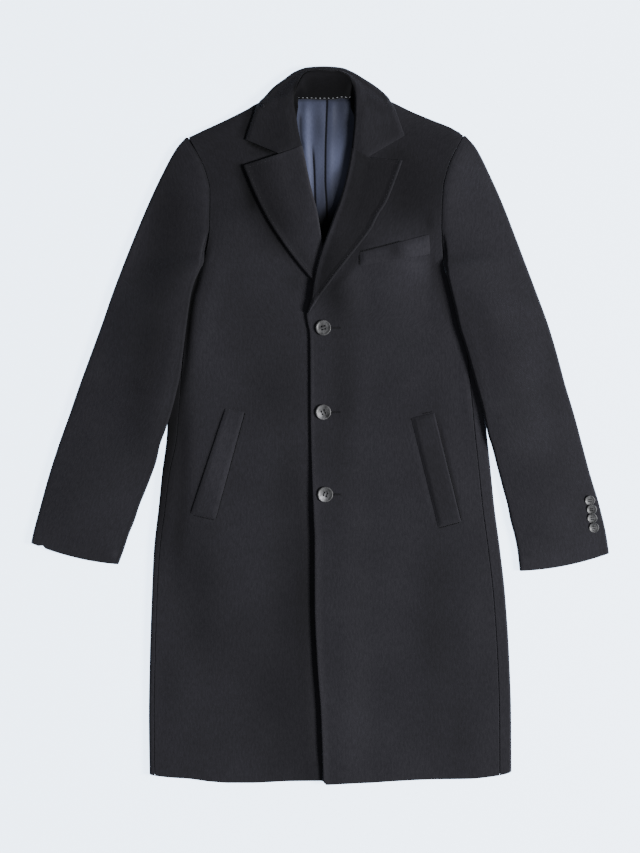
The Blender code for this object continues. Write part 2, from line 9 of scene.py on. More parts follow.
import bpy
import numpy as np
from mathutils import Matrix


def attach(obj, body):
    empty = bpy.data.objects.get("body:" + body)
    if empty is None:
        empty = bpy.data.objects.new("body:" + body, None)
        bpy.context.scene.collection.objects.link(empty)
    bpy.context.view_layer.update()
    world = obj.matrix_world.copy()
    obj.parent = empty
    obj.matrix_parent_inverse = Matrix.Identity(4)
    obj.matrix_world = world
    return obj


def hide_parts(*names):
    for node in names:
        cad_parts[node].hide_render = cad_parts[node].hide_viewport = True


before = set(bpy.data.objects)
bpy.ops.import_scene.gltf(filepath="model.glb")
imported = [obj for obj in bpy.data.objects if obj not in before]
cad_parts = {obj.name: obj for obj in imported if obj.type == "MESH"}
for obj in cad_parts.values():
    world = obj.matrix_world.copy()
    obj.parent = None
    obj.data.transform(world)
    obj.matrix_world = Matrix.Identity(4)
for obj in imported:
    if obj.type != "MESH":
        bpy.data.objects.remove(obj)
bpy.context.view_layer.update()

# ---- Back panel -------------------------------------------------------------------------------------------
# Heavy brushed wool, flat on the surface. At each side it is folded up and over to the side seam on the
# front, and at the armholes and shoulders it ends flat under the fronts and sleeves.
MM = 0.001
LEFT, RIGHT = 1, -1  # the wearer's sides: the way in which x grows from the middle to the side
CLOTH = 2.6  # thickness of the wool cloth
SEAM = 0.3  # gap between two pieces that touch
FOLD = 4.1  # outer radius of the pressed folds
BEND = FOLD - CLOTH / 2  # radius of the mid-surface there
INNER = 2 * FOLD - CLOTH  # height of the right front's underside
FOOT = -520  # y of the hem before it is moved on to its line
KNEE = -344  # y from which rows are moved
TUCK = 4.0  # how far the back and fronts run under a sleeve at the underarm
NECK_RISE = 3.0  # rise of the back over the collar leaf that is folded under it
FLAT_RUN = 8.0  # lip of the back where it ends flat
RIM = np.array([0.0, 0.1, 0.4, 0.9, 1.6])  # distances from an edge where the points crowd to round it

# y, x of the fold, width of back cloth on the front, bend in degrees
SIDES = {LEFT: (
    (-545, 287, 18, 180), (-434, 286.5, 18, 180), (-344, 283.5, 18, 180), (-254, 277.5, 18, 180),
    (-187, 270, 18, 180), (-119, 261, 18, 180), (-74, 256.5, 18, 180), (-17, 250.5, 18, 180),
    (61, 243, 18, 180), (130, 237, 18, 180), (172, 228, 12, 180), (186, 214, 5, 60),
), RIGHT: (
    (-545, -255, 8, 180), (-434, -256.5, 8, 180), (-344, -255, 8, 180), (-254, -252, 8, 180),
    (-187, -249, 9, 180), (-119, -241.5, 10, 180), (-74, -237, 11, 180), (-17, -229.8, 15, 180),
    (61, -226, 17, 180), (130, -220, 17, 180), (172, -213, 11, 180), (186, -204, 5, 60),
)}
# Armhole seams: y, x
ARMHOLE = {LEFT: (
    (203, 194.6), (248, 184.6), (300, 182), (352, 184), (390, 193), (416, 205), (434, 215),
), RIGHT: (
    (205, -190.5), (250, -173), (300, -165.5), (350, -165), (382, -172), (408, -184), (431, -197),
)}
# Shoulder lines: x, y
SHOULDER = {LEFT: (
    (88, 486.5), (97, 486), (106, 484.6), (115, 480.5), (124, 476), (138, 469.5), (166.5, 458),
    (196.5, 446), (215, 434),
), RIGHT: (
    (-197, 431), (-178, 440.5), (-153, 452), (-127, 464.3), (-108, 473.8), (-98, 480), (-91, 483),
    (-76, 484),
)}
# Hem: x, y
HEM = (
    (-256, -522), (-249, -524), (-225, -527), (-195, -529), (-165, -533), (-135, -535), (-105, -535),
    (-45, -532.5), (6, -532), (9, -537.5), (45, -536), (75, -535), (105, -533), (165, -530), (225, -529),
    (255, -526), (279, -521.5), (288, -517.5),
)


def ease(t):
    """Smooth step: 3t^2 - 2t^3 between 0 and 1."""
    t = np.clip(t, 0.0, 1.0)
    return t * t * (3.0 - 2.0 * t)


def bell(distance, wide):
    """exp(-(distance / wide)^2)."""
    return np.exp(-((distance / wide) ** 2))


def through(table, at):
    """Other columns of a table where its first is `at`: cubics whose slope at a row is the harmonic mean of
    the slopes beside it, and 0 where those differ in sign, so that the curve never overshoots a row."""
    table = np.array(table, float)
    x, rows = table[:, 0], table[:, 1:]
    run = np.diff(x)[:, None]
    slope = np.diff(rows, axis=0) / run
    before, after = slope[:-1], slope[1:]
    same = before * after > 0
    middle = np.where(same, 2 * before * after / np.where(same, before + after, 1.0), 0.0)
    tangent = np.vstack([slope[:1], middle, slope[-1:]])
    at = np.asarray(at, float)
    flat = np.clip(at.ravel(), x[0], x[-1])
    i = np.clip(np.searchsorted(x, flat, side="right") - 1, 0, len(x) - 2)
    t = ((flat - x[i]) / (x[i + 1] - x[i]))[:, None]
    value = (
        (2 * t**3 - 3 * t**2 + 1) * rows[i]
        + (t**3 - 2 * t**2 + t) * tangent[i] * run[i]
        + (3 * t**2 - 2 * t**3) * rows[i + 1]
        + (t**3 - t**2) * tangent[i + 1] * run[i]
    )
    value = value.reshape(at.shape + (rows.shape[1],))
    return value[..., 0] if rows.shape[1] == 1 else value


def spread(width, count):
    """Distances across a piece: the rim distances at either edge, `count` even ones between."""
    width = np.asarray(width, float)[..., None]
    rim = RIM * np.minimum(1.0, width / (3 * RIM[-1]))
    even = np.linspace(0, 1, count + 2)[1:-1]
    between = rim[..., -1:] + (width - 2 * rim[..., -1:]) * even
    return np.concatenate([rim, between, width - rim[..., ::-1]], axis=-1)


def lengths(grid, axis):
    """Distance run along the rows or columns of a grid of points, from its first."""
    step = np.linalg.norm(np.diff(grid, axis=axis), axis=-1)
    return np.insert(np.cumsum(step, axis=axis), 0, 0.0, axis=axis)


def cloth(name, mid, thick, rims, material, tone=1.0):
    """Closed wall round a mid-surface: its two skins lie half the thickness off along the normal, times
    sqrt(1 - (1 - d/r)^2) within a rim radius r of an edge at distance d, which makes the edges half round.
    `tone` is painted light and shade, which lightens or darkens the colour."""
    mid = np.asarray(mid, float)
    across, along = lengths(mid, 1), lengths(mid, 0)
    edges = (across, across[:, -1:] - across, along, along[-1:] - along)
    swell = np.ones(mid.shape[:2])
    for distance, radius in zip(edges, rims):
        swell = np.minimum(swell, np.sqrt(1 - (1 - np.clip(distance / radius, 0, 1)) ** 2))
    normal = np.cross(np.gradient(mid, axis=1), np.gradient(mid, axis=0))
    normal /= np.maximum(np.linalg.norm(normal, axis=-1, keepdims=True), 1e-9)
    offset = normal * (0.5 * thick * swell)[..., None]
    rows, columns = swell.shape
    upper = np.arange(rows * columns).reshape(rows, columns)
    lower = upper.copy()
    lower[1:-1, 1:-1] = rows * columns + np.arange((rows - 2) * (columns - 2)).reshape(rows - 2, columns - 2)
    points = np.vstack([(mid + offset).reshape(-1, 3), (mid - offset)[1:-1, 1:-1].reshape(-1, 3)]) * MM
    quads = [
        np.stack([g[:-1, :-1], g[:-1, 1:], g[1:, 1:], g[1:, :-1]], axis=-1).reshape(-1, 4)[:, ::turn]
        for g, turn in ((upper, 1), (lower, -1))
    ]
    grain = np.stack([across, along], axis=-1) * MM
    grain = np.vstack([grain.reshape(-1, 2), grain[1:-1, 1:-1].reshape(-1, 2)])
    piece = shaped(name, points, np.vstack(quads), material, grain)
    tone = np.broadcast_to(tone, swell.shape)
    lie_and_painted_light = piece.data.attributes.new("tone", "FLOAT", "POINT")
    lie_and_painted_light.data.foreach_set("value", np.append(tone.ravel(), tone[1:-1, 1:-1].ravel()).astype(np.float32))
    return piece


def shaped(name, points, quads, material, grain=None):
    """Mesh object from arrays, smooth shaded, with its run across and along as a UV map."""
    mesh = bpy.data.meshes.new(name)
    mesh.vertices.add(len(points))
    mesh.vertices.foreach_set("co", np.asarray(points, np.float32).ravel())
    mesh.loops.add(quads.size)
    mesh.loops.foreach_set("vertex_index", quads.ravel().astype(np.int32))
    mesh.polygons.add(len(quads))
    mesh.polygons.foreach_set("loop_start", np.arange(0, quads.size, quads.shape[1], dtype=np.int32))
    mesh.polygons.foreach_set("use_smooth", np.ones(len(quads), bool))
    mesh.update(calc_edges=True)
    mesh.validate()
    if grain is not None:
        layer = mesh.uv_layers.new(name="grain")
        layer.data.foreach_set("uv", grain[quads.ravel()].astype(np.float32).ravel())
    mesh.materials.append(material)
    return linked(name, mesh)


def linked(name, data):
    """New object in the scene."""
    made = bpy.data.objects.new(name, data)
    bpy.context.scene.collection.objects.link(made)
    return made


def add(tree, kind, settings=(), **inputs):
    """Shader node with its settings, and its inputs given as values or as sockets to link."""
    made = tree.nodes.new(kind)
    for key, value in dict(settings).items():
        setattr(made, key, value)
    for key, value in inputs.items():
        socket = made.inputs[int(key[1:])] if key[0] == "i" and key[1:].isdigit() else made.inputs[key]
        if isinstance(value, bpy.types.NodeSocket):
            tree.links.new(value, socket)
        else:
            socket.default_value = value
    return made


def noise(tree, where, scale, detail, **more):
    """Noise of a scale per metre, about 0.3 to 0.7."""
    return add(tree, "ShaderNodeTexNoise", Vector=where, Scale=scale, Detail=detail, **more).outputs[0]


def ranged(tree, value, low, high, to_low, to_high):
    """A value moved from one range to another and kept inside it."""
    return add(tree, "ShaderNodeMapRange", i0=value, i1=low, i2=high, i3=to_low, i4=to_high).outputs[0]


def math_of(tree, operation, first, second):
    """Sum, difference or product of two values."""
    return add(tree, "ShaderNodeMath", {"operation": operation}, i0=first, i1=second).outputs[0]


def shaded(tree, colour, by):
    """A colour times a value."""
    return add(tree, "ShaderNodeVectorMath", {"operation": "SCALE"}, i0=colour, Scale=by).outputs[0]


def grain_map(tree):
    """Run across and along a piece's cloth."""
    return add(tree, "ShaderNodeUVMap", {"uv_map": "grain"}).outputs[0]


def drawn_out(tree, where, share, **more):
    """Place for noise that is drawn out along y by 1 / share."""
    return add(tree, "ShaderNodeMapping", Vector=where, Scale=(1, share, 1), **more).outputs[0]


def own_tone(tree):
    """The painted light and shade that a piece's points carry in the attribute "tone"."""
    return add(tree, "ShaderNodeAttribute", {"attribute_name": "tone"}).outputs["Fac"]


def plain(name, values):
    """New material with values set on its shader: the material, its node tree and the shader's sockets."""
    material = bpy.data.materials.new(name)
    material.use_nodes = True
    sockets = material.node_tree.nodes["Principled BSDF"].inputs
    for key, value in values.items():
        sockets[key].default_value = value
    return material, material.node_tree, sockets


def coloured(tree, sockets, colour, height=None, strength=0.0, distance=0.0):
    """Links a colour to a shader, and a height through a bump."""
    tree.links.new(colour, sockets["Base Color"])
    if height is not None:
        bump = add(tree, "ShaderNodeBump", Height=height, Strength=strength, Distance=distance)
        tree.links.new(bump.outputs[0], sockets["Normal"])


def nap_group():
    """Brushed nap: fine fibre laid along the grain, short slubs, and broad cloudy patches where it lies
    another way, times the Tone input, which carries painted light and shade. Puts out the colour, and the
    height of the nap for a bump."""
    group = bpy.data.node_groups.new("brushed nap", "ShaderNodeTree")
    for name, kind in (("Vector", "Vector"), ("Colour", "Color"), ("Clouds", "Float"), ("Tone", "Float")):
        group.interface.new_socket(name, in_out="INPUT", socket_type="NodeSocket" + kind)
    group.interface.new_socket("Colour", in_out="OUTPUT", socket_type="NodeSocketColor")
    group.interface.new_socket("Height", in_out="OUTPUT", socket_type="NodeSocketFloat")
    given = group.nodes.new("NodeGroupInput")
    made = group.nodes.new("NodeGroupOutput")
    vector, clouds = given.outputs["Vector"], given.outputs["Clouds"]
    laid = drawn_out(group, vector, 0.3)
    fibre = noise(group, laid, 900.0, 3.0, Roughness=0.6)
    slub = noise(group, laid, 330.0, 1.0)
    low, high = (math_of(group, way, 1.0, clouds) for way in ("SUBTRACT", "ADD"))
    patchy = ranged(group, noise(group, vector, 11.0, 3.0), 0.35, 0.65, low, high)
    fine = ranged(group, fibre, 0.3, 0.7, 0.83, 1.17)
    dash = ranged(group, slub, 0.32, 0.68, 0.9, 1.1)
    lie_and_painted_light = math_of(group, "MULTIPLY", patchy, given.outputs["Tone"])
    tone = math_of(group, "MULTIPLY", math_of(group, "MULTIPLY", fine, dash), lie_and_painted_light)
    group.links.new(shaded(group, given.outputs["Colour"], tone), made.inputs["Colour"])
    group.links.new(math_of(group, "ADD", fibre, slub), made.inputs["Height"])
    return group


NAP_AND_PAINTED_LIGHT = nap_group()


def wool(name, colour, clouds=0.08, sheen=0.08):
    """Matt brushed wool: the nap's colour and bump, with a faint sheen of upright fibre. The colour carries
    each piece's painted light and shade.
    """
    material, tree, sockets = plain(name, {
        "Roughness": 0.92, "Specular IOR Level": 0.12, "Sheen Weight": sheen, "Sheen Roughness": 0.45,
        "Sheen Tint": (0.75, 0.75, 0.85, 1),
    })
    nap = add(tree, "ShaderNodeGroup", {"node_tree": NAP_AND_PAINTED_LIGHT}, Vector=grain_map(tree), Colour=(*colour, 1),
        Clouds=clouds, Tone=own_tone(tree)).outputs
    coloured(tree, sockets, nap["Colour"], nap["Height"], 0.35, 0.0006)
    return material


WOOL = (0.0150, 0.0145, 0.0180)
charcoal = wool("charcoal wool", WOOL)

# Painted shade on the right side, beside and under the sleeve: y, x, half width, gain
PAINTED_SIDE_SHADE = (
    (-230, -248, 14, 0), (-150, -241, 17, -0.45), (-100, -236, 19, -0.65), (-7, -225, 18, -0.85),
    (38, -214, 15, -0.75), (98, -202, 9, -0.7), (143, -197, 7, -0.9), (188, -191, 7, -0.95),
    (211, -185, 7, -0.95), (245, -175, 6, -0.85), (275, -166, 5, -0.2), (300, -165, 5, 0),
)
# Painted light on its left strip: x, y, half width, half height, gain
PAINTED_BACK_LIGHT = ((254, -170, 16, 150, 0.14), (238, 18, 7, 46, 0.3))


def painted_light_patches(x, y, table):
    """Painted light and shade: the product of 1 + gain * exp(-(dx / rx)^2 - (dy / ry)^2) over patches."""
    tone = 1.0 + 0.0 * x
    for px, py, rx, ry, gain in table:
        tone = tone * (1 + gain * np.exp(-(((x - px) / rx) ** 2) - ((y - py) / ry) ** 2))
    return tone


def painted_shade_line(x, y, table):
    """Painted shade along a line: 1 + gain * exp(-(d / half width)^2) at distance d."""
    line, half, gain = np.moveaxis(through(table, y), -1, 0)
    return 1 + gain * bell(x - line, half)


def hem_at(x, y):
    """Moves points near the bottom down to the hem line, the more the lower they are."""
    share = np.clip((KNEE - y) / (KNEE - FOOT), 0, 1) ** 2
    return y + (through(HEM, x) - FOOT) * share


def armhole(way):
    """Armhole seam, running under the sleeve towards the underarm: y, x."""
    seam = np.array(ARMHOLE[way], float)
    seam[:, 1] += way * (TUCK * ease((234 - seam[:, 0]) / 20) - SEAM)
    return seam


def folded(length, angle, lip, points=13):
    """Cloth that leaves the flat round an arc, of a fixed length and so a radius of that length over its
    angle, and then runs straight for a lip: how far out and how far up it goes."""
    angle = np.maximum(angle, 1e-4)
    turn = angle * np.linspace(0, 1, points)
    out, up = length / angle * np.sin(turn), length / angle * (1 - np.cos(turn))
    run = (lip[:, None] - spread(lip, 2)[:, ::-1])[:, 1:]
    out = np.hstack([out, out[:, -1:] + run * np.cos(angle)])
    return out, np.hstack([up, up[:, -1:] + run * np.sin(angle)])


def neck_lift(y):
    """How far the back, and what lies on it, has risen at y."""
    return NECK_RISE * ease((y - 450) / 26)


def back_half(way, y):
    """One side of the back at heights y, from the flat round the fold to the side seam: x and height."""
    rows = [(at, x, strip - FOLD, bend) for at, x, strip, bend in SIDES[way]]
    rows += [
        (at, x + way * TUCK * ease((at - 210) / 24) * ease((436 - at) / 30), FLAT_RUN, 0)
        for at, x in armhole(way)
    ]
    rows += [(at, x, FLAT_RUN, 0) for x, at in SHOULDER[way][::-way][1:-1]]
    x, lip, bend = np.moveaxis(through(rows, y), -1, 0)
    out, up = folded(math.pi * BEND, np.radians(bend)[:, None], lip)
    edge = x[:, None] - way * CLOTH / 2 * (bend > 90)[:, None]
    return edge + way * (out - out.max(axis=1, keepdims=True)), up


back_y = np.concatenate([FOOT + RIM, np.linspace(-515, 479, 151), 483 - RIM[::-1]])
(right_x, right_up), (left_x, left_up) = back_half(RIGHT, back_y), back_half(LEFT, back_y)
between = np.linspace(0, 1, 42)[1:-1]
flat_x = right_x[:, :1] + (left_x[:, :1] - right_x[:, :1]) * between
back_x = np.hstack([right_x[:, ::-1], flat_x, left_x])
back_z = np.hstack([right_up[:, ::-1], 0 * flat_x, left_up]) + CLOTH / 2
back_grid_y = hem_at(back_x, np.repeat(back_y[:, None], back_x.shape[1], axis=1))
back_grid_y += 1.5 * ease((-400 - back_y) / 60)[:, None] * ease((INNER - 1.5 - back_z) / 2)
back_mid = np.dstack([back_x, back_grid_y, back_z + neck_lift(back_y)[:, None]])
# Painted shade beside the right sleeve and painted light on the left strip
tone = painted_shade_line(back_x, back_grid_y, PAINTED_SIDE_SHADE) * painted_light_patches(back_x, back_grid_y, PAINTED_BACK_LIGHT)
back = cloth("back_panel", back_mid, CLOTH, (0.5, 0.9, 1.3, 1.0), charcoal, tone)
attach(back, "root")
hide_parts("back")

# ---- Front panels -----------------------------------------------------------------------------------------
# The same wool, the wearer's left lapped over the right. The left front's edge is turned and pick-stitched,
# which makes it thick and round; both run from the edge or roll line to side seam, armhole and shoulder.
LIP = 6.0  # how far a lapel's lower lip runs in from the roll line
LAYER = CLOTH + SEAM  # height of one more layer
DROP_RUN = 14  # how far inside the shoulder line a front starts to bend down
PICK = (6.0, 1.5, 0.55)  # pick stitches: one every, length, width
FRONT_PICK = 5.5  # how far in from the left front's edge they run

# Edges: y, x
EDGE = {LEFT: (
    (-545, 5), (-431, 1), (-352, -4.7), (-263, -8.4), (-172, -8.6), (-142, -9.8), (-66, -12.6),
    (-30, -13.8), (18, -14.6), (114, -15.2), (140, -15.8), (152, -18.5), (166, -20.5),
), RIGHT: (
    (-545, 27), (-352, 27), (-66, 27), (166, 26),
)}
# Roll lines of the lapels: y, x
ROLL_LINE = {LEFT: (
    (160, -21), (168, -19.5), (176, -17), (186, -13.5), (196, -12), (212, -9.8), (226, -7.2), (243, -3.2),
    (262, 2.5), (290, 12.5), (310.5, 20), (341.5, 31), (383, 41.5), (415, 47), (440, 50),
), RIGHT: (
    (160, 24), (186, 23), (196, 21), (226, 13.5), (262, 6), (290, 1), (316, -3), (347, -11), (373, -17),
    (403.5, -23.2), (418, -26.5), (440, -32),
)}
# Necklines above the lapels, under the collar: y, x
NECKLINE = {LEFT: (
    (415, 53.6), (426, 56.8), (437, 58), (460, 62.5), (474, 72), (486.5, 88),
), RIGHT: (
    (418, -33.1), (428, -37.4), (437, -39.5), (460, -46.5), (472, -58), (484, -76),
)}

# Soft creases of the body: from x, y to x, y, half width, height (a trough where it is below 0)
CREASES = (
    (-150, 250, -174, 170, 13, 1.2), (-171, 190, -190, 80, 14, 1.4), (-206, 20, -207, -165, 11, -1.1),
    (-118, 205, -112, -30, 46, -1.5), (-60, -230, -36, -470, 52, 1.3), (-178, -220, -150, -430, 30, -0.9),
    (62, 160, 54, -10, 24, 1.1), (166, 292, 162, 150, 9, -0.6), (163, 292, 160, 110, 30, -0.9),
    (214, 105, 227, -5, 9, 1.3), (150, 40, 190, -170, 34, 0.9), (110, -190, 118, -440, 40, -1.0),
    (210, -200, 232, -430, 34, 0.8), (-205, -330, -212, -480, 26, 0.7), (40, -260, 62, -470, 26, 0.6),
    (-140, 330, -75, 240, 34, 0.9), (120, 395, 152, 320, 26, -0.8),
)
# Patches of painted light and shade on the fronts: x, y, half width, half height, gain
PAINTED_BODY_LIGHT = (
    (-145, 400, 70, 90, -0.36), (-168, 290, 24, 50, -0.25), (-160, 120, 24, 70, 0.06),
    (-70, 60, 30, 60, -0.12), (-42, 60, 26, 60, -0.12), (-42, -90, 30, 90, -0.2),
    (-44, -285, 34, 120, -0.3), (-54, -450, 46, 90, -0.28), (-104, -330, 36, 80, -0.14),
    (-174, -280, 28, 130, -0.2), (165, 385, 70, 90, -0.42), (130, 335, 44, 44, -0.34),
    (60, 320, 40, 60, -0.2), (26, 186, 26, 36, -0.5), (38, 30, 26, 130, -0.28), (130, 215, 34, 80, 0.3),
    (170, 0, 24, 70, -0.18), (172, -300, 30, 170, -0.24), (214, -430, 34, 110, -0.18),
    (52, -450, 40, 70, 0.1), (146, 238, 24, 20, 0.3), (-88, 408, 24, 8, -0.3), (122, 384, 26, 48, -0.28),
    (100, 406, 26, 10, -0.2), (-11.5, 0, 3, 130, 0.3), (-205, -215, 26, 60, -0.12),
    (164, 302, 7, 14, -0.35), (168, 235, 14, 22, -0.12), (-36, 218, 18, 20, -0.2), (212, 66, 8, 24, 0.12),
)
# Painted shade on the right front beside the overlapping edge: y, x, half width, gain
PAINTED_EDGE_SHADE = (
    (-545, -8, 22, -0.25), (-430, -12, 20, -0.28), (-352, -15, 18, -0.35), (-263, -19, 16, -0.5),
    (-172, -20, 14, -0.36), (-100, -24, 12, -0.15), (-40, -26, 12, 0), (200, -26, 12, 0),
)
# Painted shadows along edges that lie on the fronts, and a painted light line beside a hip welt:
# from x, y to x, y, half width, gain
PAINTED_SHADOW_LINES = (
    (-100, 482, -118, 428, 7, -0.6), (-115, 427, -64, 404.5, 5, -0.6), (-124, 396, -92, 316, 9, -0.6),
    (-94, 326, -40, 240, 5, -0.35), (173, 24, 213, -146, 3.2, -0.5), (133, 12, 173, -152, 3.5, 0.2),
    (86, 318, 30, 236, 6, -0.3), (8, 188, 78, 283, 8.5, -0.42), (-125, 355, -52, 255, 20, -0.34),
    (166, 262, 196, 150, 8, -0.28), (-200, 70, -214, -225, 13, -0.43), (-112, 426.5, -64, 405.5, 3, -0.5),
    (-143, 27, -194.5, -131, 2.5, -0.35),
)


def creases(x, y, table):
    """Sum of soft folds: each is height * exp(-(d / half width)^2) at a distance d from its line, eased to
    nothing past its ends."""
    total = 0.0 * x
    for x0, y0, x1, y1, half, height in table:
        run = np.array([x1 - x0, y1 - y0], float)
        length = np.hypot(*run)
        along = ((x - x0) * run[0] + (y - y0) * run[1]) / length
        off = ((x - x0) * run[1] - (y - y0) * run[0]) / length
        ends = ease(along / (0.4 * length) + 0.25) * ease((length - along) / (0.4 * length) + 0.25)
        total = total + height * bell(off, half) * ends
    return total


# Fall of the right front under the sleeve's edge: y, x, half width, depth
SIDE_FALL = (
    (-70, -246, 6, 0), (-7, -230, 6, 1.6), (38, -216, 6, 2.2), (98, -203.5, 5.5, 2.6),
    (143, -200, 5.5, 3.4), (188, -194, 5.5, 3.4), (211, -187, 5.5, 3.4), (245, -177.5, 5, 2.4),
    (270, -170, 5, 0.7), (285, -167, 5, 0),
)


def waves(x, y):
    """Soft rise and fall of the body's cloth, faded at the front edge, the hem, the sides and the collar."""
    folds = np.sin(x / 41 + y / 160) * 0.3 + np.sin(x / 67 - y / 95 + 1.3) * 0.3 + 0.4
    middle = ease((np.abs(x) - 50) / 60) * ease((204 - np.abs(x)) / 40)
    folds = folds * middle + creases(x, y, CREASES)
    folds = folds * ease((y + 522) / 60) * ease((392 - y) / 60) * ease((246 - np.abs(x)) / 26)
    line, half, fall = np.moveaxis(through(SIDE_FALL, y), -1, 0)
    return np.maximum(folds - fall * bell(x - line, half), -2.6)


def shoulder_drop(x, y):
    """How far a front bends down to the back beside the shoulder line."""
    line = np.array([(-257, 399), *SHOULDER[RIGHT][:-1], (0, 560), *SHOULDER[LEFT][1:], (275, 402)], float)
    inside = (np.interp(x, line[:, 0], line[:, 1]) - y) * 0.92
    return (INNER - CLOTH - SEAM) * (1 - np.sin(np.clip(inside / DROP_RUN, 0, 1) * math.pi / 2))


def right_base(x, y):
    """Underside of the right front."""
    return INNER + neck_lift(y) - shoulder_drop(x, y) + waves(x, y)


def left_base(x, y):
    """Underside of the left front: one layer up over the right front, two over the right lapel."""
    below = ease((345 - y) / 50)
    over_front = ease((80 - x) / 52) * below
    roll = through(ROLL_LINE[RIGHT], y)
    over_lapel = ease((roll + 52 - x) / 50) * ease((y - 158) / 26) * below
    return right_base(x, y) + LAYER * (over_front + over_lapel)


def upright(table, low, high):
    """Side of a patch, read at t = 0 to 1: y runs evenly from low to high and x follows the table."""
    return lambda t: np.stack([through(table, low + (high - low) * t), low + (high - low) * t], axis=-1)


def level(table, start, end):
    """End of a patch, read at t = 0 to 1: x runs evenly from start to end and y follows the table."""
    return lambda t: np.stack([start + (end - start) * t, through(table, start + (end - start) * t)], axis=-1)


def patch(left, right, low, high, u, v):
    """Plan of a four-sided piece: the blend of its sides at v and of its ends at u, less its corners'."""
    v = v + 0 * u
    across = left(v) * (1 - u)[..., None] + right(v) * u[..., None]
    along = low(u) * (1 - v)[..., None] + high(u) * v[..., None]
    first = low(np.zeros(1))[0] * (1 - u)[..., None] + low(np.ones(1))[0] * u[..., None]
    last = high(np.zeros(1))[0] * (1 - u)[..., None] + high(np.ones(1))[0] * u[..., None]
    return across + along - first * (1 - v)[..., None] - last * v[..., None]


def turned_edge(distance, rise, stitched):
    """Extra thickness of a turned edge, which dies away inwards, with the slight dip of its stitching."""
    return rise * (1 - ease((distance - 1.5) / 9)) - 0.45 * bell(distance - stitched, 1.1)


def front_plan(way):
    """The four sides of a front's plan, as curves for patch()."""
    edge, neck, sides = EDGE[way], NECKLINE[way], SIDES[way]
    roll = [(y, x + way * (LIP + 3 * SEAM)) for y, x in ROLL_LINE[way] if 180 < y < neck[0][0]]
    inner = [*edge, *roll, *neck]
    seam = [(y, x - way * (strip + SEAM)) for y, x, strip, _ in sides if y < 150]
    seam += [(172, sides[-2][1] - way * 13.8), (186, sides[-1][1] - way * 8.3)]  # leaves the fold
    outer = seam + [tuple(row) for row in armhole(way)]
    hem = ((4, -531), *HEM[9:]) if way == LEFT else (*HEM[:9], (30, -532))
    foot = through(edge, -532)
    low_in = through(hem, foot)
    low_out = through(hem, through(outer, -523))
    top = sorted(SHOULDER[way])
    left_side = upright(inner, low_in, neck[-1][0])
    right_side = upright(outer, low_out, outer[-1][0])
    low = level(hem, left_side(0.0)[0], right_side(0.0)[0])
    high = level(top, left_side(1.0)[0], right_side(1.0)[0])
    return left_side, right_side, low, high


def low_down(y):
    """0 above the second button, 1 below the third."""
    return ease((-20 - y) / 120)


def under_edge(x, y):
    """Dip of the right front beside the left one's edge, deepest 7 mm outside it, low down on the coat."""
    beside = through(EDGE[LEFT], y) - 7 - x
    return 1.8 * bell(beside, 8) * ease((y + 530) / 60) * low_down(y)


def front(way):
    """Grid of a front's mid-surface and its thickness: the patch laid on its base height."""
    sides = front_plan(way)
    v = spread(1000.0, 216) / 1000.0
    width = np.linalg.norm(sides[1](v) - sides[0](v), axis=-1)
    distance = spread(width, 84)
    plan = patch(*sides, distance / width[:, None], v[:, None])
    x, y = plan[..., 0], plan[..., 1]
    thick = np.full(x.shape, CLOTH)
    if way == LEFT:
        plump = 0.5 + 1.2 * low_down(y)
        thick = thick + turned_edge(distance, plump, FRONT_PICK) * ease((172 - y) / 8)
    base = left_base(x, y) if way == LEFT else right_base(x, y) - under_edge(x, y)
    return np.dstack([x, y, base + thick / 2]), thick


def thread(name, colour):
    """Twisted sewing thread: its strands as fine slanting bands, a little lighter and darker."""
    material, tree, sockets = plain(name, {"Roughness": 0.75, "Specular IOR Level": 0.2})
    strand = noise(tree, add(tree, "ShaderNodeTexCoord").outputs["Object"], 2600.0, 2.0)
    light = ranged(tree, strand, 0.3, 0.7, 0.7, 1.3)
    coloured(tree, sockets, shaded(tree, colour, light), strand, 0.4, 0.0002)
    return material


def seam_line(mid, thick, inset):
    """Line on the upper side of a cloth grid at a distance `inset` from its last column, read between the two
    columns on either side of it."""
    left = lengths(mid, 1)
    left = left[:, -1:] - left
    k = np.argmax(left <= inset, axis=1)
    row = np.arange(len(mid))
    share = ((left[row, k - 1] - inset) / (left[row, k - 1] - left[row, k]))[:, None]
    top = mid + np.stack([0 * left, 0 * left, np.broadcast_to(thick, left.shape) / 2], axis=-1)
    return top[row, k - 1] * (1 - share) + top[row, k] * share


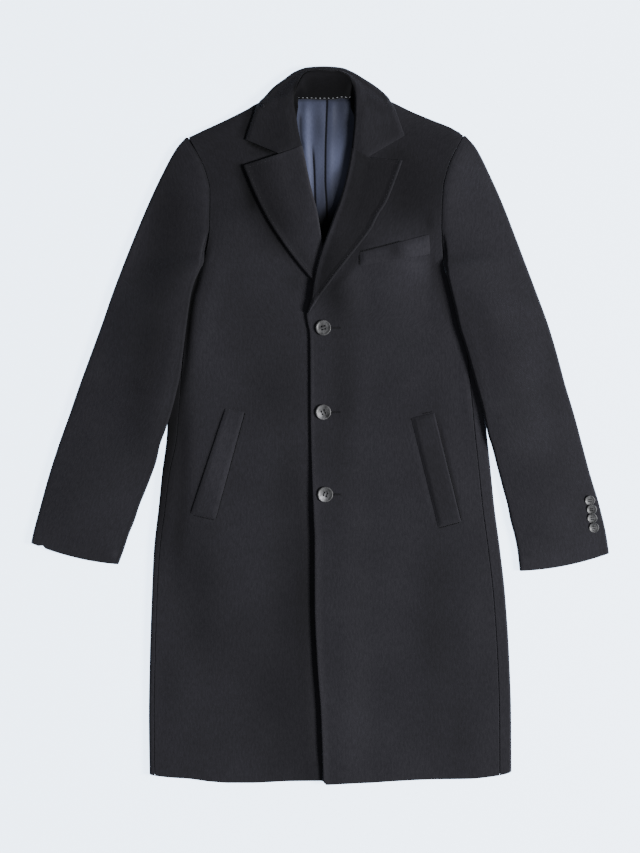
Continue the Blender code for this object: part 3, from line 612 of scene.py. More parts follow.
def stitches(name, lines, every, length, width, material):
    """Stitches at even steps along lines, each a capsule half sunk in the cloth: its radius at s = -1 to 1 is
    the half width times sqrt(1 - 0.92 s^2)."""
    place, ahead = [], []
    for line in lines:
        line = np.array(line, float)
        run = lengths(line[None], 1)[0]
        at = np.linspace(0, run[-1], max(int(run[-1] / every), 1) + 1)
        at = (at[1:] + at[:-1]) / 2
        read = lambda d: np.stack([np.interp(d, run, line[:, k]) for k in range(3)], axis=-1)
        place.append(read(at))
        ahead.append(read(at + 0.1) - read(at - 0.1))
    place, ahead = np.vstack(place), np.vstack(ahead)
    ahead /= np.linalg.norm(ahead, axis=1, keepdims=True)
    side = np.cross((0, 0, 1), ahead)
    side /= np.linalg.norm(side, axis=1, keepdims=True)
    up = np.cross(ahead, side)
    s = np.array([-1, -0.75, 0, 0.75, 1])[:, None, None]
    a = (np.arange(6) / 6 * math.tau)[:, None]
    ring = side[:, None, None] * np.cos(a) + up[:, None, None] * np.sin(a)
    middle = place[:, None, None] + ahead[:, None, None] * s * length / 2
    points = middle + ring * width / 2 * np.sqrt(1 - 0.92 * s * s)
    k = np.arange(len(place) * 30).reshape(-1, 5, 6)
    around = np.roll(k, -1, axis=2)
    walls = np.stack([k[:, :-1], around[:, :-1], around[:, 1:], k[:, 1:]], axis=-1)
    ends = k[:, 0][:, [[0, 5, 4, 3], [3, 2, 1, 0]]], k[:, 4][:, [[0, 1, 2, 3], [0, 3, 4, 5]]]
    quads = np.vstack([part.reshape(-1, 4) for part in (walls, *ends)])
    return shaped(name, points.reshape(-1, 3) * MM, quads, material)


wool_thread = thread("charcoal thread", (0.030, 0.029, 0.034))
dark_thread = thread("black thread", (0.004, 0.004, 0.005))

for side, way, rims in (("right", RIGHT, (1.3, 0.3, 1.8, 0.6)), ("left", LEFT, (2.2, 0.9, 1.8, 0.6))):
    mid, thick = front(way)
    x, y = mid[..., 0], mid[..., 1]
    # Painted light and shade; on the right front also painted shade beside the sleeve and the edge
    tone = painted_light_patches(x, y, PAINTED_BODY_LIGHT) * (1 + creases(x, y, PAINTED_SHADOW_LINES))
    if way == RIGHT:
        tone = tone * painted_shade_line(x, y, PAINTED_SIDE_SHADE) * painted_shade_line(x, y, PAINTED_EDGE_SHADE)
    panel = cloth("front_panel_" + side, mid, thick, rims, charcoal, tone)
    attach(panel, "root")
    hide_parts("front_" + side)

below_break = seam_line(mid[:, ::-1], thick[:, ::-1], FRONT_PICK)
below_break = below_break[(below_break[:, 1] < 158) & (below_break[:, 1] > -528)]
pick = stitches("front_pick_stitches", [below_break], *PICK, wool_thread)
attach(pick, "root")

BUTTONHOLES = (146, 20, -103)  # y of the worked slits
SLIT = (2.0, 31.0, 0.9)  # x from and to, half width
CORD = (0.55, 0.1)  # radius of the thread worked round a slit, how far its middle lies over the cloth


def squared(wave, power):
    """Wave pulled towards square by a power below 1."""
    return np.sign(wave) * np.abs(wave) ** power


def buttonhole(y):
    """Thread worked round a slit: a round cord along a long oval, x = middle + half length * cos(a) pulled
    out square by a power of 0.35, y = half width * sin(a) by a power of 0.6."""
    a = np.linspace(0, math.tau, 49)[:-1]
    x = (SLIT[0] + SLIT[1]) / 2 + (SLIT[1] - SLIT[0]) / 2 * squared(np.cos(a), 0.35)
    wide = SLIT[2] * squared(np.sin(a), 0.6)
    path = np.stack([x, y + wide, left_base(x, y + wide) + CLOTH + CORD[1]], axis=-1)
    ahead = np.roll(path, -1, axis=0) - np.roll(path, 1, axis=0)
    out = np.cross(ahead, (0, 0, 1))
    out /= np.linalg.norm(out, axis=1, keepdims=True)
    b = (np.arange(8) / 8 * math.tau)[:, None]
    points = path[:, None] + CORD[0] * (out[:, None] * np.cos(b) + np.array([0, 0, 1]) * np.sin(b))
    k = np.arange(48 * 8).reshape(48, 8)
    on = np.roll(k, -1, axis=0)
    quads = np.stack([k, on, np.roll(on, -1, axis=1), np.roll(k, -1, axis=1)], axis=-1)
    return points.reshape(-1, 3), quads.reshape(-1, 4)


worked = [buttonhole(y) for y in BUTTONHOLES]
cords = shaped(
    "buttonhole_cords", np.vstack([points for points, _ in worked]) * MM,
    np.vstack([quads + len(points) * i for i, (points, quads) in enumerate(worked)]), dark_thread,
)
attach(cords, "root")

# ---- Sleeves ----------------------------------------------------------------------------------------------
# Each is a top sleeve wrapped round both long edges, with a short return under it, and an under sleeve
# between the returns. The head is set into the armhole with some fullness; below the underarm the sleeve
# lies on the side.
RETURN = 14.0  # width of the top sleeve turned under at either edge
FULLNESS = 1.5  # rise of the head beside the armhole seam
CROWN = 3.2  # swell of the sleeve in its middle
BOW = 5.5  # how far the cuff's edge bows down in its middle
VENT = (0.87, 0.022, 3.5)  # nick of the right cuff's vent: share of the width, its half width, depth

# Inner edge and armhole seam: y, x
INNER_EDGE = {LEFT: (
    (-217, 299), (-187, 295.5), (-164, 291), (-142, 285), (-119, 280.5), (-97, 274.5), (-74, 268.5),
    (-52, 262.5), (-29, 256), (-16, 251.5), (26, 242.5), (70, 230.5), (122, 216), (143, 209),
    (186.5, 199),
), RIGHT: (
    (-208, -302), (-187, -294), (-164, -286.5), (-142, -277.5), (-119, -270), (-97, -261), (-74, -252),
    (-52, -244.5), (-29, -239), (-7, -230.8), (28, -220), (50, -214.5), (73, -209.3), (95, -206),
    (121, -203), (161, -198),
)}
# Outer edge: y, x
OUTER_EDGE = {LEFT: (
    (-190, 433), (-164, 429), (-119, 418.5), (-74, 405), (-29, 393), (16, 381), (61, 367.5), (106, 355.5),
    (151, 342), (196, 325.5), (241, 308.5), (286, 291.5), (331, 274), (376, 254), (416, 233.5),
    (433.5, 218.5),
), RIGHT: (
    (-176, -433), (-164, -430.5), (-119, -418.5), (-74, -406), (-29, -391.5), (16, -375.5), (61, -360),
    (106, -343.5), (151, -327), (196, -311.5), (241, -294.5), (286, -276.5), (331, -257.5), (376, -236.5),
    (416, -214.5), (431.5, -201),
)}
# Rows across the sleeve, cuff to shoulder tip: row, inner y, outer y, inner bend in degrees, height
ROWS = {LEFT: (
    (0, -218, -191.5, 180, 8.2), (75, -142, -135, 180, 8.2), (143, -74, -83, 180, 8.2),
    (201, -16, -19, 180, 8.2), (281, 64, 66, 180, 8.2), (345, 128, 134, 180, 8.2),
    (420, 203, 204, 180, 8.2), (465, 248, 244, 60, 8.2), (517, 300, 294, 0, 8.2), (569, 352, 349, 0, 8.2),
    (607, 390, 391, 0, 8.2), (633, 416, 416, 0, 7.6), (651, 434, 433.5, 0, 5.6),
), RIGHT: (
    (0, -208, -176, 180, 8.2), (62, -146, -131, 180, 8.2), (125, -83, -67, 180, 8.2),
    (198, -10, -5, 180, 8.2), (256, 48, 55, 180, 8.2), (329, 121, 120, 180, 8.2),
    (413, 205, 204, 180, 8.2), (458, 250, 247, 60, 8.2), (508, 300, 299, 0, 8.2), (558, 350, 351, 0, 8.2),
    (590, 382, 387, 0, 8.2), (616, 408, 412, 0, 7.6), (639, 431, 431.5, 0, 5.6),
)}
# Soft creases: from x, y to x, y, half width, height
SLEEVE_CREASES = (
    (-212, 165, -242, 10, 11, 0.8), (-258, 170, -292, 30, 22, -1.1), (-338, 90, -250, 24, 15, -0.7),
    (-252, 340, -276, 215, 26, -0.9), (-372, -20, -330, -150, 28, 0.8), (-300, 60, -352, -60, 20, 0.6),
    (221, 165, 248, 20, 10, 0.7), (288, 215, 330, 30, 26, -1.1), (352, 80, 262, 20, 15, -0.6),
    (236, 385, 264, 290, 20, 0.8), (322, -50, 352, -190, 28, 0.8), (300, 60, 340, -60, 20, 0.6),
    (285, 300, 318, 215, 16, 0.6),
)
# Patches of painted light and shade on the sleeves: x, y, half width, half height, gain
PAINTED_SLEEVE_LIGHT = (
    (-306, -192, 5, 14, 0.35), (426, -150, 7, 45, -0.2), (-228, 300, 40, 105, -0.5),
    (-240, 120, 34, 110, -0.26), (-300, 120, 60, 110, -0.12), (-215, 415, 40, 40, -0.2),
    (-211, 322, 20, 42, -0.14), (-262, -10, 26, 80, -0.16), (300, 250, 40, 160, 0.12),
    (290, 130, 28, 90, -0.22), (335, 50, 36, 70, -0.1), (236, 372, 34, 60, 0.26),
    (345, -205, 50, 30, 0.16), (240, 150, 24, 110, -0.1),
)


def body_fold(way, y):
    """Outermost x of the body's side under a sleeve."""
    return through([row[:2] for row in SIDES[way]] + list(ARMHOLE[way]), y)


def sleeve_base(way, x, y):
    """Underside of a sleeve: on the surface, or up on the body where it lies over the side."""
    over = ease((104 - way * (x - body_fold(way, y))) / 88)
    meets = {LEFT: -72, RIGHT: -62}[way]
    return (2 * FOLD + 2 * SEAM) * over * ease((262 - y) / 28) * ease((y - meets) / 50)


def sleeve_rows(way, row):
    """Inner and outer points, inner bend and height at distances `row` up the sleeve."""
    at = through(ROWS[way], row)
    inner = [*INNER_EDGE[way], *[(y, x + way * SEAM) for y, x in ARMHOLE[way]]]
    first = np.stack([through(inner, at[:, 0]), at[:, 0]], axis=-1)
    last = np.stack([through(OUTER_EDGE[way], at[:, 1]), at[:, 1]], axis=-1)
    return first, last, at[:, 2], at[:, 3]


def cuff_line(u, row, way):
    """How far the cuff's edge bows down in its middle, with the nick of the vent on the right cuff."""
    bow = BOW * 4 * u * (1 - u)
    nick = VENT[2] * bell(u - VENT[0], VENT[1]) * (way == RIGHT) * ease((14 - row) / 14)
    return (bow - nick) * ease((60 - row) / 60)


def wrapped(wide, thick, bend, height):
    """Sections across a top sleeve, from its inner return round an arc of the row's bend, over the top, and
    round a half circle to its outer return: how far from the inner edge, and how far below the top."""
    half = ((height - thick) / 2)[:, None]
    back_run = np.minimum(RETURN, 0.2 * wide)
    arc = math.pi * half * np.minimum(1, wide[:, None] / 40)
    near, sink = folded(arc, np.radians(bend)[:, None], 2 + (back_run - 2) * ease((bend - 150) / 30))
    near = near.max(axis=1, keepdims=True) - near + thick[:, None] / 2 * (bend > 90)[:, None]
    radius = np.minimum(height / 2, 0.3 * wide)[:, None] - thick[:, None] / 2
    turn = np.linspace(0, 1, 13)
    run = (back_run[:, None] - spread(back_run, 2)[:, ::-1])[:, 1:]
    far = np.hstack([radius * np.sin(math.pi * turn), -run])
    far = wide[:, None] - thick[:, None] / 2 - radius + far
    drop = radius * (1 - np.cos(math.pi * turn)) * half / radius
    drop = np.hstack([drop, drop[:, -1:] + 0 * run])
    top = near[:, :1] + (far[:, :1] - near[:, :1]) * np.linspace(0, 1, 36)[1:-1]
    return np.hstack([near[:, ::-1], top, far]), np.hstack([sink[:, ::-1], 0 * top, drop])


def sleeve(way):
    """Grids of the top sleeve and the under sleeve with their thicknesses: sections laid across the rows, the
    head's fullness, soft creases and a slight crown on top, and the under sleeve flat between the returns."""
    row = spread(ROWS[way][-1][0], 150)
    first, last, bend, height = sleeve_rows(way, row)
    wide = np.linalg.norm(last - first, axis=1)
    across = (last - first) / wide[:, None]
    thick = CLOTH * (0.45 + 0.55 * ease(wide / 30))
    where, fall = wrapped(wide, thick, bend, height)
    plan = first[:, None] + across[:, None] * where[..., None]
    u = where / wide[:, None]
    plan[..., 1] -= cuff_line(np.clip(u, 0, 1), row[:, None], way)
    x, y = plan[..., 0], plan[..., 1]
    head = ease((row - (row[-1] - 225)) / 60) * ease(wide / 60)
    full = FULLNESS * head[:, None] * np.clip(where / 9, 0, None) * np.exp(1 - where / 9)
    soft = creases(x, y, SLEEVE_CREASES) * ease(where / 14) * ease((wide[:, None] - where) / 14)
    dome = CROWN * (1 - (2 * u - 1) ** 2) * ease((wide[:, None] - 50) / 60)
    dome = dome * ease((row[-1] - 120 - row) / 120)[:, None]
    z = (height - thick / 2)[:, None] - fall + (full + soft + dome * ease(row / 40)[:, None]) * (fall < 0.5)
    z = np.maximum(z, thick[:, None] / 2) + sleeve_base(way, x, y)
    upper = np.dstack([x, y, z])
    start = where[:, 0] + SEAM + thick / 2 + 9 * ((bend > 1) & (bend < 175)) + 5 * (bend <= 1)
    end = where[:, -1] - SEAM
    under = start[:, None] + spread(np.maximum(end - start, 1.0), 22)
    plan = first[:, None] + across[:, None] * under[..., None]
    bow = cuff_line(np.clip(under / wide[:, None], 0, 1), row[:, None], way)
    plan[..., 1] -= bow - 1.0 * (row < 30)[:, None]
    lower = np.dstack([plan, (thick / 2)[:, None] + sleeve_base(way, plan[..., 0], plan[..., 1])])
    keep = wide > 34  # the under sleeve ends where the top closes up
    return upper, thick[:, None], lower[keep], thick[keep, None]


for side, way, inner_rim in (("right", RIGHT, 0.5), ("left", LEFT, 1.1)):
    upper, thick, lower, low_thick = sleeve(way)
    tone = painted_light_patches(upper[..., 0], upper[..., 1], PAINTED_SLEEVE_LIGHT)
    # Painted shade along the right sleeve's edge where it meets the body
    if way == RIGHT:  # in the shade where it meets the body
        edge = upper[..., 0].max(axis=1, keepdims=True) - upper[..., 0]
        tone = tone * (1 - 0.32 * ease((6 - edge) / 5))
    top = cloth(f"sleeve_{side}_upper", upper, thick, (inner_rim, 1.3, 1.8, 0.6), charcoal, tone)
    under = cloth(f"sleeve_{side}_lower", lower, low_thick, (1.3, 1.3, 1.5, 1.3), charcoal)
    for piece, node, size, area in (
            (top, "top", (0.19, 0.69), 0.098), (under, "under", (0.115, 0.66), 0.057)):
        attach(piece, "root")
        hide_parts(f"sleeve_{side}_{node}")

# ---- Lapels -----------------------------------------------------------------------------------------------
# The top of each front's facing, rolled over on to the front: a lower lip beside the front's edge, a soft
# roll, and the flap, of doubled cloth with turned, pick-stitched edges. It ends in the notch.
ROLL = 4.0  # outer radius of the roll where it is plumpest, near the collar
LAPEL_DIP, LAPEL_PICK = 5.0, 5.2  # how far in from its edge the cloth dips, and the stitches run

# Outer edges, break to tip: y, x
LAPEL_EDGE = {LEFT: (
    (170, -17.5), (176, -13), (181, -8.5), (194, 0.5), (207, 10.5), (228, 26), (251, 44), (274, 62),
    (295, 77.5), (316, 88), (334, 99.5), (362, 111), (396, 123.5),
), RIGHT: (
    (187, 17), (194, 12), (207, -0.5), (221, -14.5), (246, -35.5), (274, -56), (310.5, -79.5),
    (352, -100), (389, -115),
)}
# Roll, notch and tip at the top: x, y
GORGE = {LEFT: ((47, 415), (73.5, 400.5), (123.5, 396)), RIGHT: ((-26.5, 418), (-62.8, 406), (-115, 389))}


def lapel_roll(way, v):
    """Root of the roll at v = 0 to 1 up the lapel, and the radius of its mid-surface there."""
    start, end = {LEFT: (168, 415), RIGHT: (187, 418)}[way]
    y = start + (end - start) * v
    x = through(ROLL_LINE[way], y)
    flat = CLOTH + SEAM / 2
    radius = flat - CLOTH / 2 + (ROLL - flat) * ease((y - 240) / 110)
    return np.stack([x, y], axis=-1), radius


def lapel_flap(way, u, v):
    """Plan of the flap: from the roll at u = 0 to the outer edge at u = 1, from the break to the gorge."""
    edge, gorge = LAPEL_EDGE[way], np.array(GORGE[way], float)

    def root(t):
        at, radius = lapel_roll(way, t)
        return at + np.stack([way * radius, 0 * radius], axis=-1)

    def top(t):
        share = np.linalg.norm(gorge[1] - gorge[0]) / np.linalg.norm(np.diff(gorge, axis=0), axis=1).sum()
        ends = np.vstack([root(np.ones(1)), gorge[1:]])
        return np.stack([np.interp(t, (0, share, 1), ends[:, k]) for k in (0, 1)], axis=-1)

    outer = upright(edge, edge[0][0], edge[-1][0])
    foot = lambda t: root(0 * t) * (1 - t)[..., None] + outer(0 * t) * t[..., None]
    return patch(root, outer, foot, top, u, v)


def lapel(way):
    """Grid of a lapel's mid-surface and its thickness: lip, half circle, then the flap laid on the front."""
    base = {LEFT: left_base, RIGHT: right_base}[way]
    v = spread(250.0, 84) / 250.0
    root, radius = lapel_roll(way, v)
    reach = np.linalg.norm(lapel_flap(way, np.ones_like(v), v) - lapel_flap(way, np.zeros_like(v), v), axis=1)
    distance = spread(reach, 44)[:, 1:]
    flap = lapel_flap(way, distance / reach[:, None], v[:, None])
    top_run = 250 * (1 - v)[:, None]
    edge_run = reach[:, None] - distance
    at_top = turned_edge(top_run + 0 * edge_run, 0.6, LAPEL_DIP)
    turned = np.maximum(turned_edge(edge_run, 1.9, LAPEL_DIP), at_top)
    turned = turned * ease((reach[:, None] - 4) / 12)
    low = base(root[:, 0] + way * LIP, root[:, 1]) + CLOTH / 2
    angle = np.linspace(0, math.pi, 13)
    arc_x = root[:, :1] + way * (CLOTH / 2 + radius[:, None] * (1 - np.sin(angle)))
    arc_z = low[:, None] + radius[:, None] * (1 - np.cos(angle))
    lip = (LIP - CLOTH / 2 - radius)[:, None] * (1 - np.array([0, 0.05, 0.2, 0.5]))
    lip_x = arc_x[:, :1] + way * lip
    thick_flap = CLOTH + turned
    under_flap = base(flap[..., 0], flap[..., 1]) + CLOTH + SEAM
    stand_off = 2 * (radius - CLOTH / 2 - SEAM / 2)[:, None]
    rise = stand_off * (1 - ease(distance / 30)) + 0.8 * np.sin(math.pi * distance / reach[:, None])
    shift = way * CLOTH / 2 * (1 - ease(distance / 12))
    flap_z = under_flap + thick_flap / 2 + rise
    flap_z += (arc_z[:, -1:] - flap_z[:, :1]) * (1 - ease(distance / 10))
    x = np.hstack([lip_x, arc_x, flap[..., 0] + shift])
    y = np.hstack([root[:, 1:] + 0 * lip_x, root[:, 1:] + 0 * arc_x, flap[..., 1]])
    z = np.hstack([low[:, None] + 0 * lip_x, arc_z, flap_z])
    thick = np.hstack([CLOTH + 0 * lip_x, CLOTH + 0 * arc_x, thick_flap])
    return np.dstack([x, y, z]), thick


picked = []
for side, way, edge_rim in (("right", RIGHT, 2.3), ("left", LEFT, 3.6)):
    mid, thick = lapel(way)
    run, y = lengths(mid, 1), mid[..., 1]
    # The lapels' tone is painted light and shade:
    if way == RIGHT:  # darker towards its edge, less so low down
        tone = 1.05 - (0.62 - 0.32 * ease((315 - y) / 50)) * ease((run / run[:, -1:] - 0.2) / 0.75)
    else:  # darker low down, lighter along its edge and along the roll
        tone = 0.36 + 0.12 * ease((y - 230) / 70)
        tone = tone * (1 + 0.5 * ease((6 - run[:, -1:] + run) / 4)) * (1 + 1.1 * ease((17 - run) / 7))
    outer = seam_line(mid, thick, LAPEL_PICK)
    upper = seam_line(np.swapaxes(mid, 0, 1), thick.T, LAPEL_PICK)
    picked += [outer[(outer[:, 1] > 176) & (outer[:, 1] < 384)], upper[len(upper) // 2:-6]]
    piece = cloth("lapel_flap_" + side, mid, thick, (1.3, edge_rim, 1.3, 1.4), charcoal, tone)
    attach(piece, "root")
    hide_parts("lapel_" + side)

pick = stitches("lapel_pick_stitches", picked, *PICK, wool_thread)
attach(pick, "root")

# ---- Collar -----------------------------------------------------------------------------------------------
# One leaf, turned out over the fronts and behind the neck from its fold, and the stand, which goes in from
# the fold and down to the lining. Its stations run along it from the right lapel round to the left one.
# Station; fold x, y, z; leaf's edge x, y; bend there in degrees; edge of its turned part x, y; direction of
# the stand in degrees, how far in its foot lies, and the foot's height
COLLAR = (
    (0, -26.5, 418, 13.6, -111.8, 427, 0, -111.8, 427, 0, -5, 5.6),
    (1, -31.5, 437, 14.2, -106, 446.5, 0, -106, 446.5, -3, -5, 5.9),
    (2, -35.5, 462, 15.4, -98, 468.5, 0, -98, 468.5, -8, 0, 6.6),
    (3, -38.5, 478, 16.4, -93.5, 481.5, 45, -89, 474, -14, 6, 8.4),
    (4, -39, 490, 16.4, -84, 491.5, 180, -78.5, 485.5, -22, 7, 9.0),
    (5, -37, 503, 15.6, -71, 506, 180, -60, 488, -60, 18, 10.8),
    (6, -30.5, 516.5, 14.2, -54, 518.7, 180, -40, 488, -68, 31, 10.8),
    (7, -24, 526.5, 12.6, -37.5, 530.2, 180, -28, 487, -77, 40, 10.8),
    (8, -12, 531.5, 11.4, -18, 536.6, 180, -13, 487, -84, 44.5, 10.8),
    (9, 6, 532.5, 11, 6, 538, 180, 6, 487, -90, 45.5, 10.8),
    (10, 24, 531.5, 11.4, 30, 536.4, 180, 25, 487, -96, 44.5, 10.8),
    (11, 36.5, 527.5, 12.6, 49, 529.6, 180, 40, 487, -103, 40, 10.8),
    (12, 45, 518, 14.2, 66, 519.6, 180, 53, 488, -112, 31, 10.8),
    (13, 50.5, 504, 15.6, 83, 508.6, 180, 72, 488, -120, 18.5, 10.8),
    (14, 51.5, 490.5, 16.4, 97, 497, 180, 91, 487.5, -158, 7, 9.0),
    (15, 51.7, 478, 16.4, 107.3, 484.5, 45, 103, 477, -166, 6, 8.4),
    (16, 51.3, 460, 15.4, 113.5, 470, 0, 113.5, 470, -172, -2, 6.6),
    (17, 49.5, 436, 14.2, 120, 452, 0, 120, 452, -177, -5, 5.9),
    (18, 47, 415, 13.6, 126.5, 433, 0, 126.5, 433, -180, -5, 5.6),
)
LAST = len(COLLAR) - 1
MIDDLE = 9  # station in the middle of the back
ROLL_MID = 2.7  # radius of the mid-surface in the collar's roll
ROLLED = 115.0  # degrees that the leaf's cloth goes round it at the sides
FELLING = (6.4, 2.8, 0.85)  # white stitches at the stand's foot: one every, length, width
# Dip of the leaf's front edge at each end: share of its width, depth
COLLAR_NOTCH = ((0.42, -15.5), (0.3, -20))


def unit(vectors):
    """Vectors of length 1 in the same directions."""
    return vectors / np.maximum(np.linalg.norm(vectors, axis=-1, keepdims=True), 1e-6)


def aside(station):
    """How many stations away from the middle of the back."""
    return np.abs(station - MIDDLE)


def collar_roll(station):
    """How far out from the fold line the roll's centre lies, and how far round it the leaf's cloth goes: all
    of it at the sides, nothing behind the neck."""
    full = ease((aside(station) - 3) / 2)
    return (ROLL_MID + CLOTH / 2) * full, np.radians(ROLLED) * full


def collar_leaf(station):
    """Outer surface of the leaf at an array of stations, fold to edge and round under: straight out from the
    fold's height to the seat, then an arc of the station's bend, then a straight return."""
    row = through(COLLAR, station)
    fold, edge, under = row[:, 0:2], row[:, 3:5], row[:, 6:8]
    fold_z, bend = row[:, 2:3], row[:, 5:6]
    turned = ease(bend / 90)
    gap = np.linalg.norm(edge - under, axis=1, keepdims=True)
    flat = unit(edge - fold)
    out = unit(flat * (1 - turned) + np.where(gap > 1, unit(edge - under), flat) * turned)
    over = 0.4 + 0.7 * ease(bend / 40) * ease((180 - bend) / 40)
    seat = lambda at: right_base(at[..., 0:1], at[..., 1:2]) + 2 * CLOTH + SEAM
    plane = seat(edge - out * 8)
    near = (seat(edge - out * 7) + over) * ease(aside(station) - 4)[:, None]
    top = plane * (1 - turned) + np.maximum(11.0 + 0.4 * ease((505 - fold[:, 1:2]) / 10), near) * turned
    angle = np.radians(bend)
    length = top / 2 * np.maximum(angle, math.pi / 2)
    reach = np.where(bend > 90, top / 2, length)
    straight = ease((bend - 120) / 50)
    lip = (3 * (1 - turned) + 1.5) * (1 - straight) + np.maximum(gap - reach, 1.5) * straight
    run, down = folded(length, angle, lip[:, 0], 11)
    start = edge - out * run.max(axis=1, keepdims=True)
    t = np.linspace(0, 1, 25)[:-1]
    first = fold + unit(start - fold) * collar_roll(station)[0][:, None]
    plan = np.concatenate([
        first[:, None] + (start - first)[:, None] * t[:, None],
        start[:, None] + out[:, None] * run[..., None],
    ], axis=1)
    z = np.hstack([top + (fold_z - top) * (1 - ease(t * 1.1)), top - down])
    wide = np.linalg.norm(edge - fold, axis=1, keepdims=True)
    far = np.linalg.norm(plan - fold[:, None], axis=-1) / wide
    for end, (knee, depth) in zip((0, LAST), COLLAR_NOTCH):
        close = ease(1 - np.abs(station - end) / 1.2)[:, None]
        plan[..., 1] += (np.interp(far, (0, knee, 1), (0, depth, 0)) + 0.5) * close
    lies = right_base(plan[..., 0], plan[..., 1]) + 2 * CLOTH + SEAM
    column = np.arange(z.shape[1])
    on_front = np.where(column < len(t), np.maximum(lies, z), lies)
    edge_up = (column < len(t) + 3) & (fold[:, 1:2] < 492)
    over_edge = np.where(edge_up, np.maximum(z, lies + over), np.maximum(z, 0))
    mix = ease(bend / 60)
    to_edge = (1 - far) * wide
    to_end = 20 * (MIDDLE - aside(station))[:, None]
    to_fold = to_edge.max(axis=1, keepdims=True) - to_edge
    puff = 1.1 * ease((to_edge - 0.5) / 6) * ease((to_end - 0.5) / 6) * ease(to_fold / 12)
    return np.dstack([plan, on_front * (1 - mix) + over_edge * mix + puff * (1 - mix)]), far


stations = LAST * spread(420.0, 150) / 420
leaf, far = collar_leaf(stations)
normal = unit(np.cross(np.gradient(leaf, axis=1), np.gradient(leaf, axis=0)))
leaf_mid = leaf + normal * CLOTH / 2
row = through(COLLAR, stations)
inward = unit(row[:, 0:2] - row[:, 3:5])
offset, round_it = collar_roll(stations)
turn = round_it[:, None] * np.linspace(1, 0, 13)[:-1]
roll_in = ROLL_MID * np.sin(turn)
roll_plan = leaf_mid[:, :1, :2] + inward[:, None] * roll_in[..., None]
roll_z = leaf_mid[:, :1, 2] - ROLL_MID * (1 - np.cos(turn))
leaf_mid = np.concatenate([np.dstack([roll_plan, roll_z]), leaf_mid], axis=1)
run_in = lengths(leaf_mid, 1)
# Painted shade and light: the leaf is dark in its roll, but not behind the neck, and lighter on the left than
# on the right
behind = ease((4.5 - aside(stations[:, None])) / 2)
tone = 0.05 + 0.95 * np.maximum(ease((run_in - 0.8) / 5), 0.85 * behind)
tone = tone * (0.62 + 0.2 * ease((stations[:, None] - 8) / 8))
collar = cloth("collar_leaf", leaf_mid, CLOTH, (0.2, 2.6, 1.6, 2.2), charcoal, tone)
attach(collar, "root")
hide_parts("collar")

inward = np.stack([np.cos(np.radians(row[:, 8])), np.sin(np.radians(row[:, 8]))], axis=-1)
leave = np.stack([np.cos(round_it), -np.sin(round_it)], axis=-1)
start_z = row[:, 2] - CLOTH / 2 - ROLL_MID * (1 - np.cos(round_it))
first = np.stack([ROLL_MID * np.sin(round_it) - offset, start_z], axis=-1) + leave * SEAM
last = row[:, 9:11] - (0, CLOTH / 2)
flat = ease(row[:, 9] / 10)
arrive = unit(np.stack([flat, flat - 1], axis=-1))
reach = np.linalg.norm(last - first, axis=1, keepdims=True) / 3
share = np.linspace(0, 1, 34)[:, None]
hull = [first, first + leave * reach, last - arrive * reach, last]
blend = [(1 - share) ** 3, 3 * share * (1 - share) ** 2, 3 * share**2 * (1 - share), share**3]
curve = sum(weight * point[:, None] for weight, point in zip(blend, hull))
stand = np.dstack([row[:, None, 0:2] + inward[:, None] * curve[..., :1], curve[..., 1]])
# Painted shade: the stand is darkest on the left and at its ends, under the roll and at its foot
tone = (0.26 - 0.18 * ease((stations[:, None] - 8) / 5)) * ease((6.5 - aside(stations[:, None])) / 3)
run = lengths(stand, 1)
tone = tone * (0.8 + 0.45 * bell(run - 7, 5)) * (1 - 0.35 * ease((run - 12) / 20))
tone = 0.02 + tone * ease((run - 0.5) / 2)
stand_piece = cloth("collar_band", stand, CLOTH, (0.2, 1.3, 1.3, 1.3), charcoal, tone)
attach(stand_piece, "root")
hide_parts("collar_stand")

white_thread = thread("white thread", (0.30, 0.31, 0.33))
foot = seam_line(stand, CLOTH, 2.2)
foot = foot[(stations > 4.0) & (stations < 14.0)]
felled = stitches("stand_foot_stitches", [foot], *FELLING, white_thread)
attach(felled, "root")

# ---- Back lining ------------------------------------------------------------------------------------------
# Slate-blue satin behind the neck opening, with a centre pleat, a second soft pleat and loose vertical folds.
# It lies on the back panel and runs in under the lapels' roll lines and the collar stand.
SATIN = 1.0  # thickness
SLATE = (0.048, 0.054, 0.089)
# Painted light and shade on the satin's lanes between its pleats: x, y, half width, half height, gain
PAINTED_LINING_LIGHT = (
    (-18, 392, 7, 62, 0.75), (-17, 452, 7, 20, 0.1), (-2, 450, 9, 36, -0.4), (0, 350, 10, 34, -0.15),
    (21, 402, 7, 22, 0.35), (26, 452, 13, 40, -0.4), (40, 450, 9, 40, -0.5), (18, 352, 10, 26, -0.45),
    (-30, 455, 5, 30, -0.25), (3, 346, 5, 34, -0.35), (30, 420, 6, 40, 0.2), (34, 484, 19, 24, -0.42),
    (14, 368, 4, 22, 0.25), (14, 452, 3, 20, 0.15), (-18, 478, 6, 8, -0.2),
)
# Lines of the centre pleat, of a second one and of a small crease: y, x
PLEATS = (
    ((270, 11), (331, 9.9), (370, 7.9), (415, 8.3), (485, 10.7)),
    ((270, -5.8), (325, -7), (374, -8.2), (418, -10.6), (440, -12.5), (491, -14.5)),
    ((270, -17), (382, -22), (419, -26), (436, -29), (458, -29.5), (491, -31)),
)
# Painted shadow of the left lapel on it: y, x from which it darkens, run to the full shade
LINING_SHADE = (
    (296, -8, 9), (307, -5, 9), (316, -2, 9), (331, 5, 10), (346, 10, 12), (368, 13, 15), (391, 25, 12),
    (413, 31, 11), (436, 38, 12), (458, 36, 16), (490, 36, 18),
)


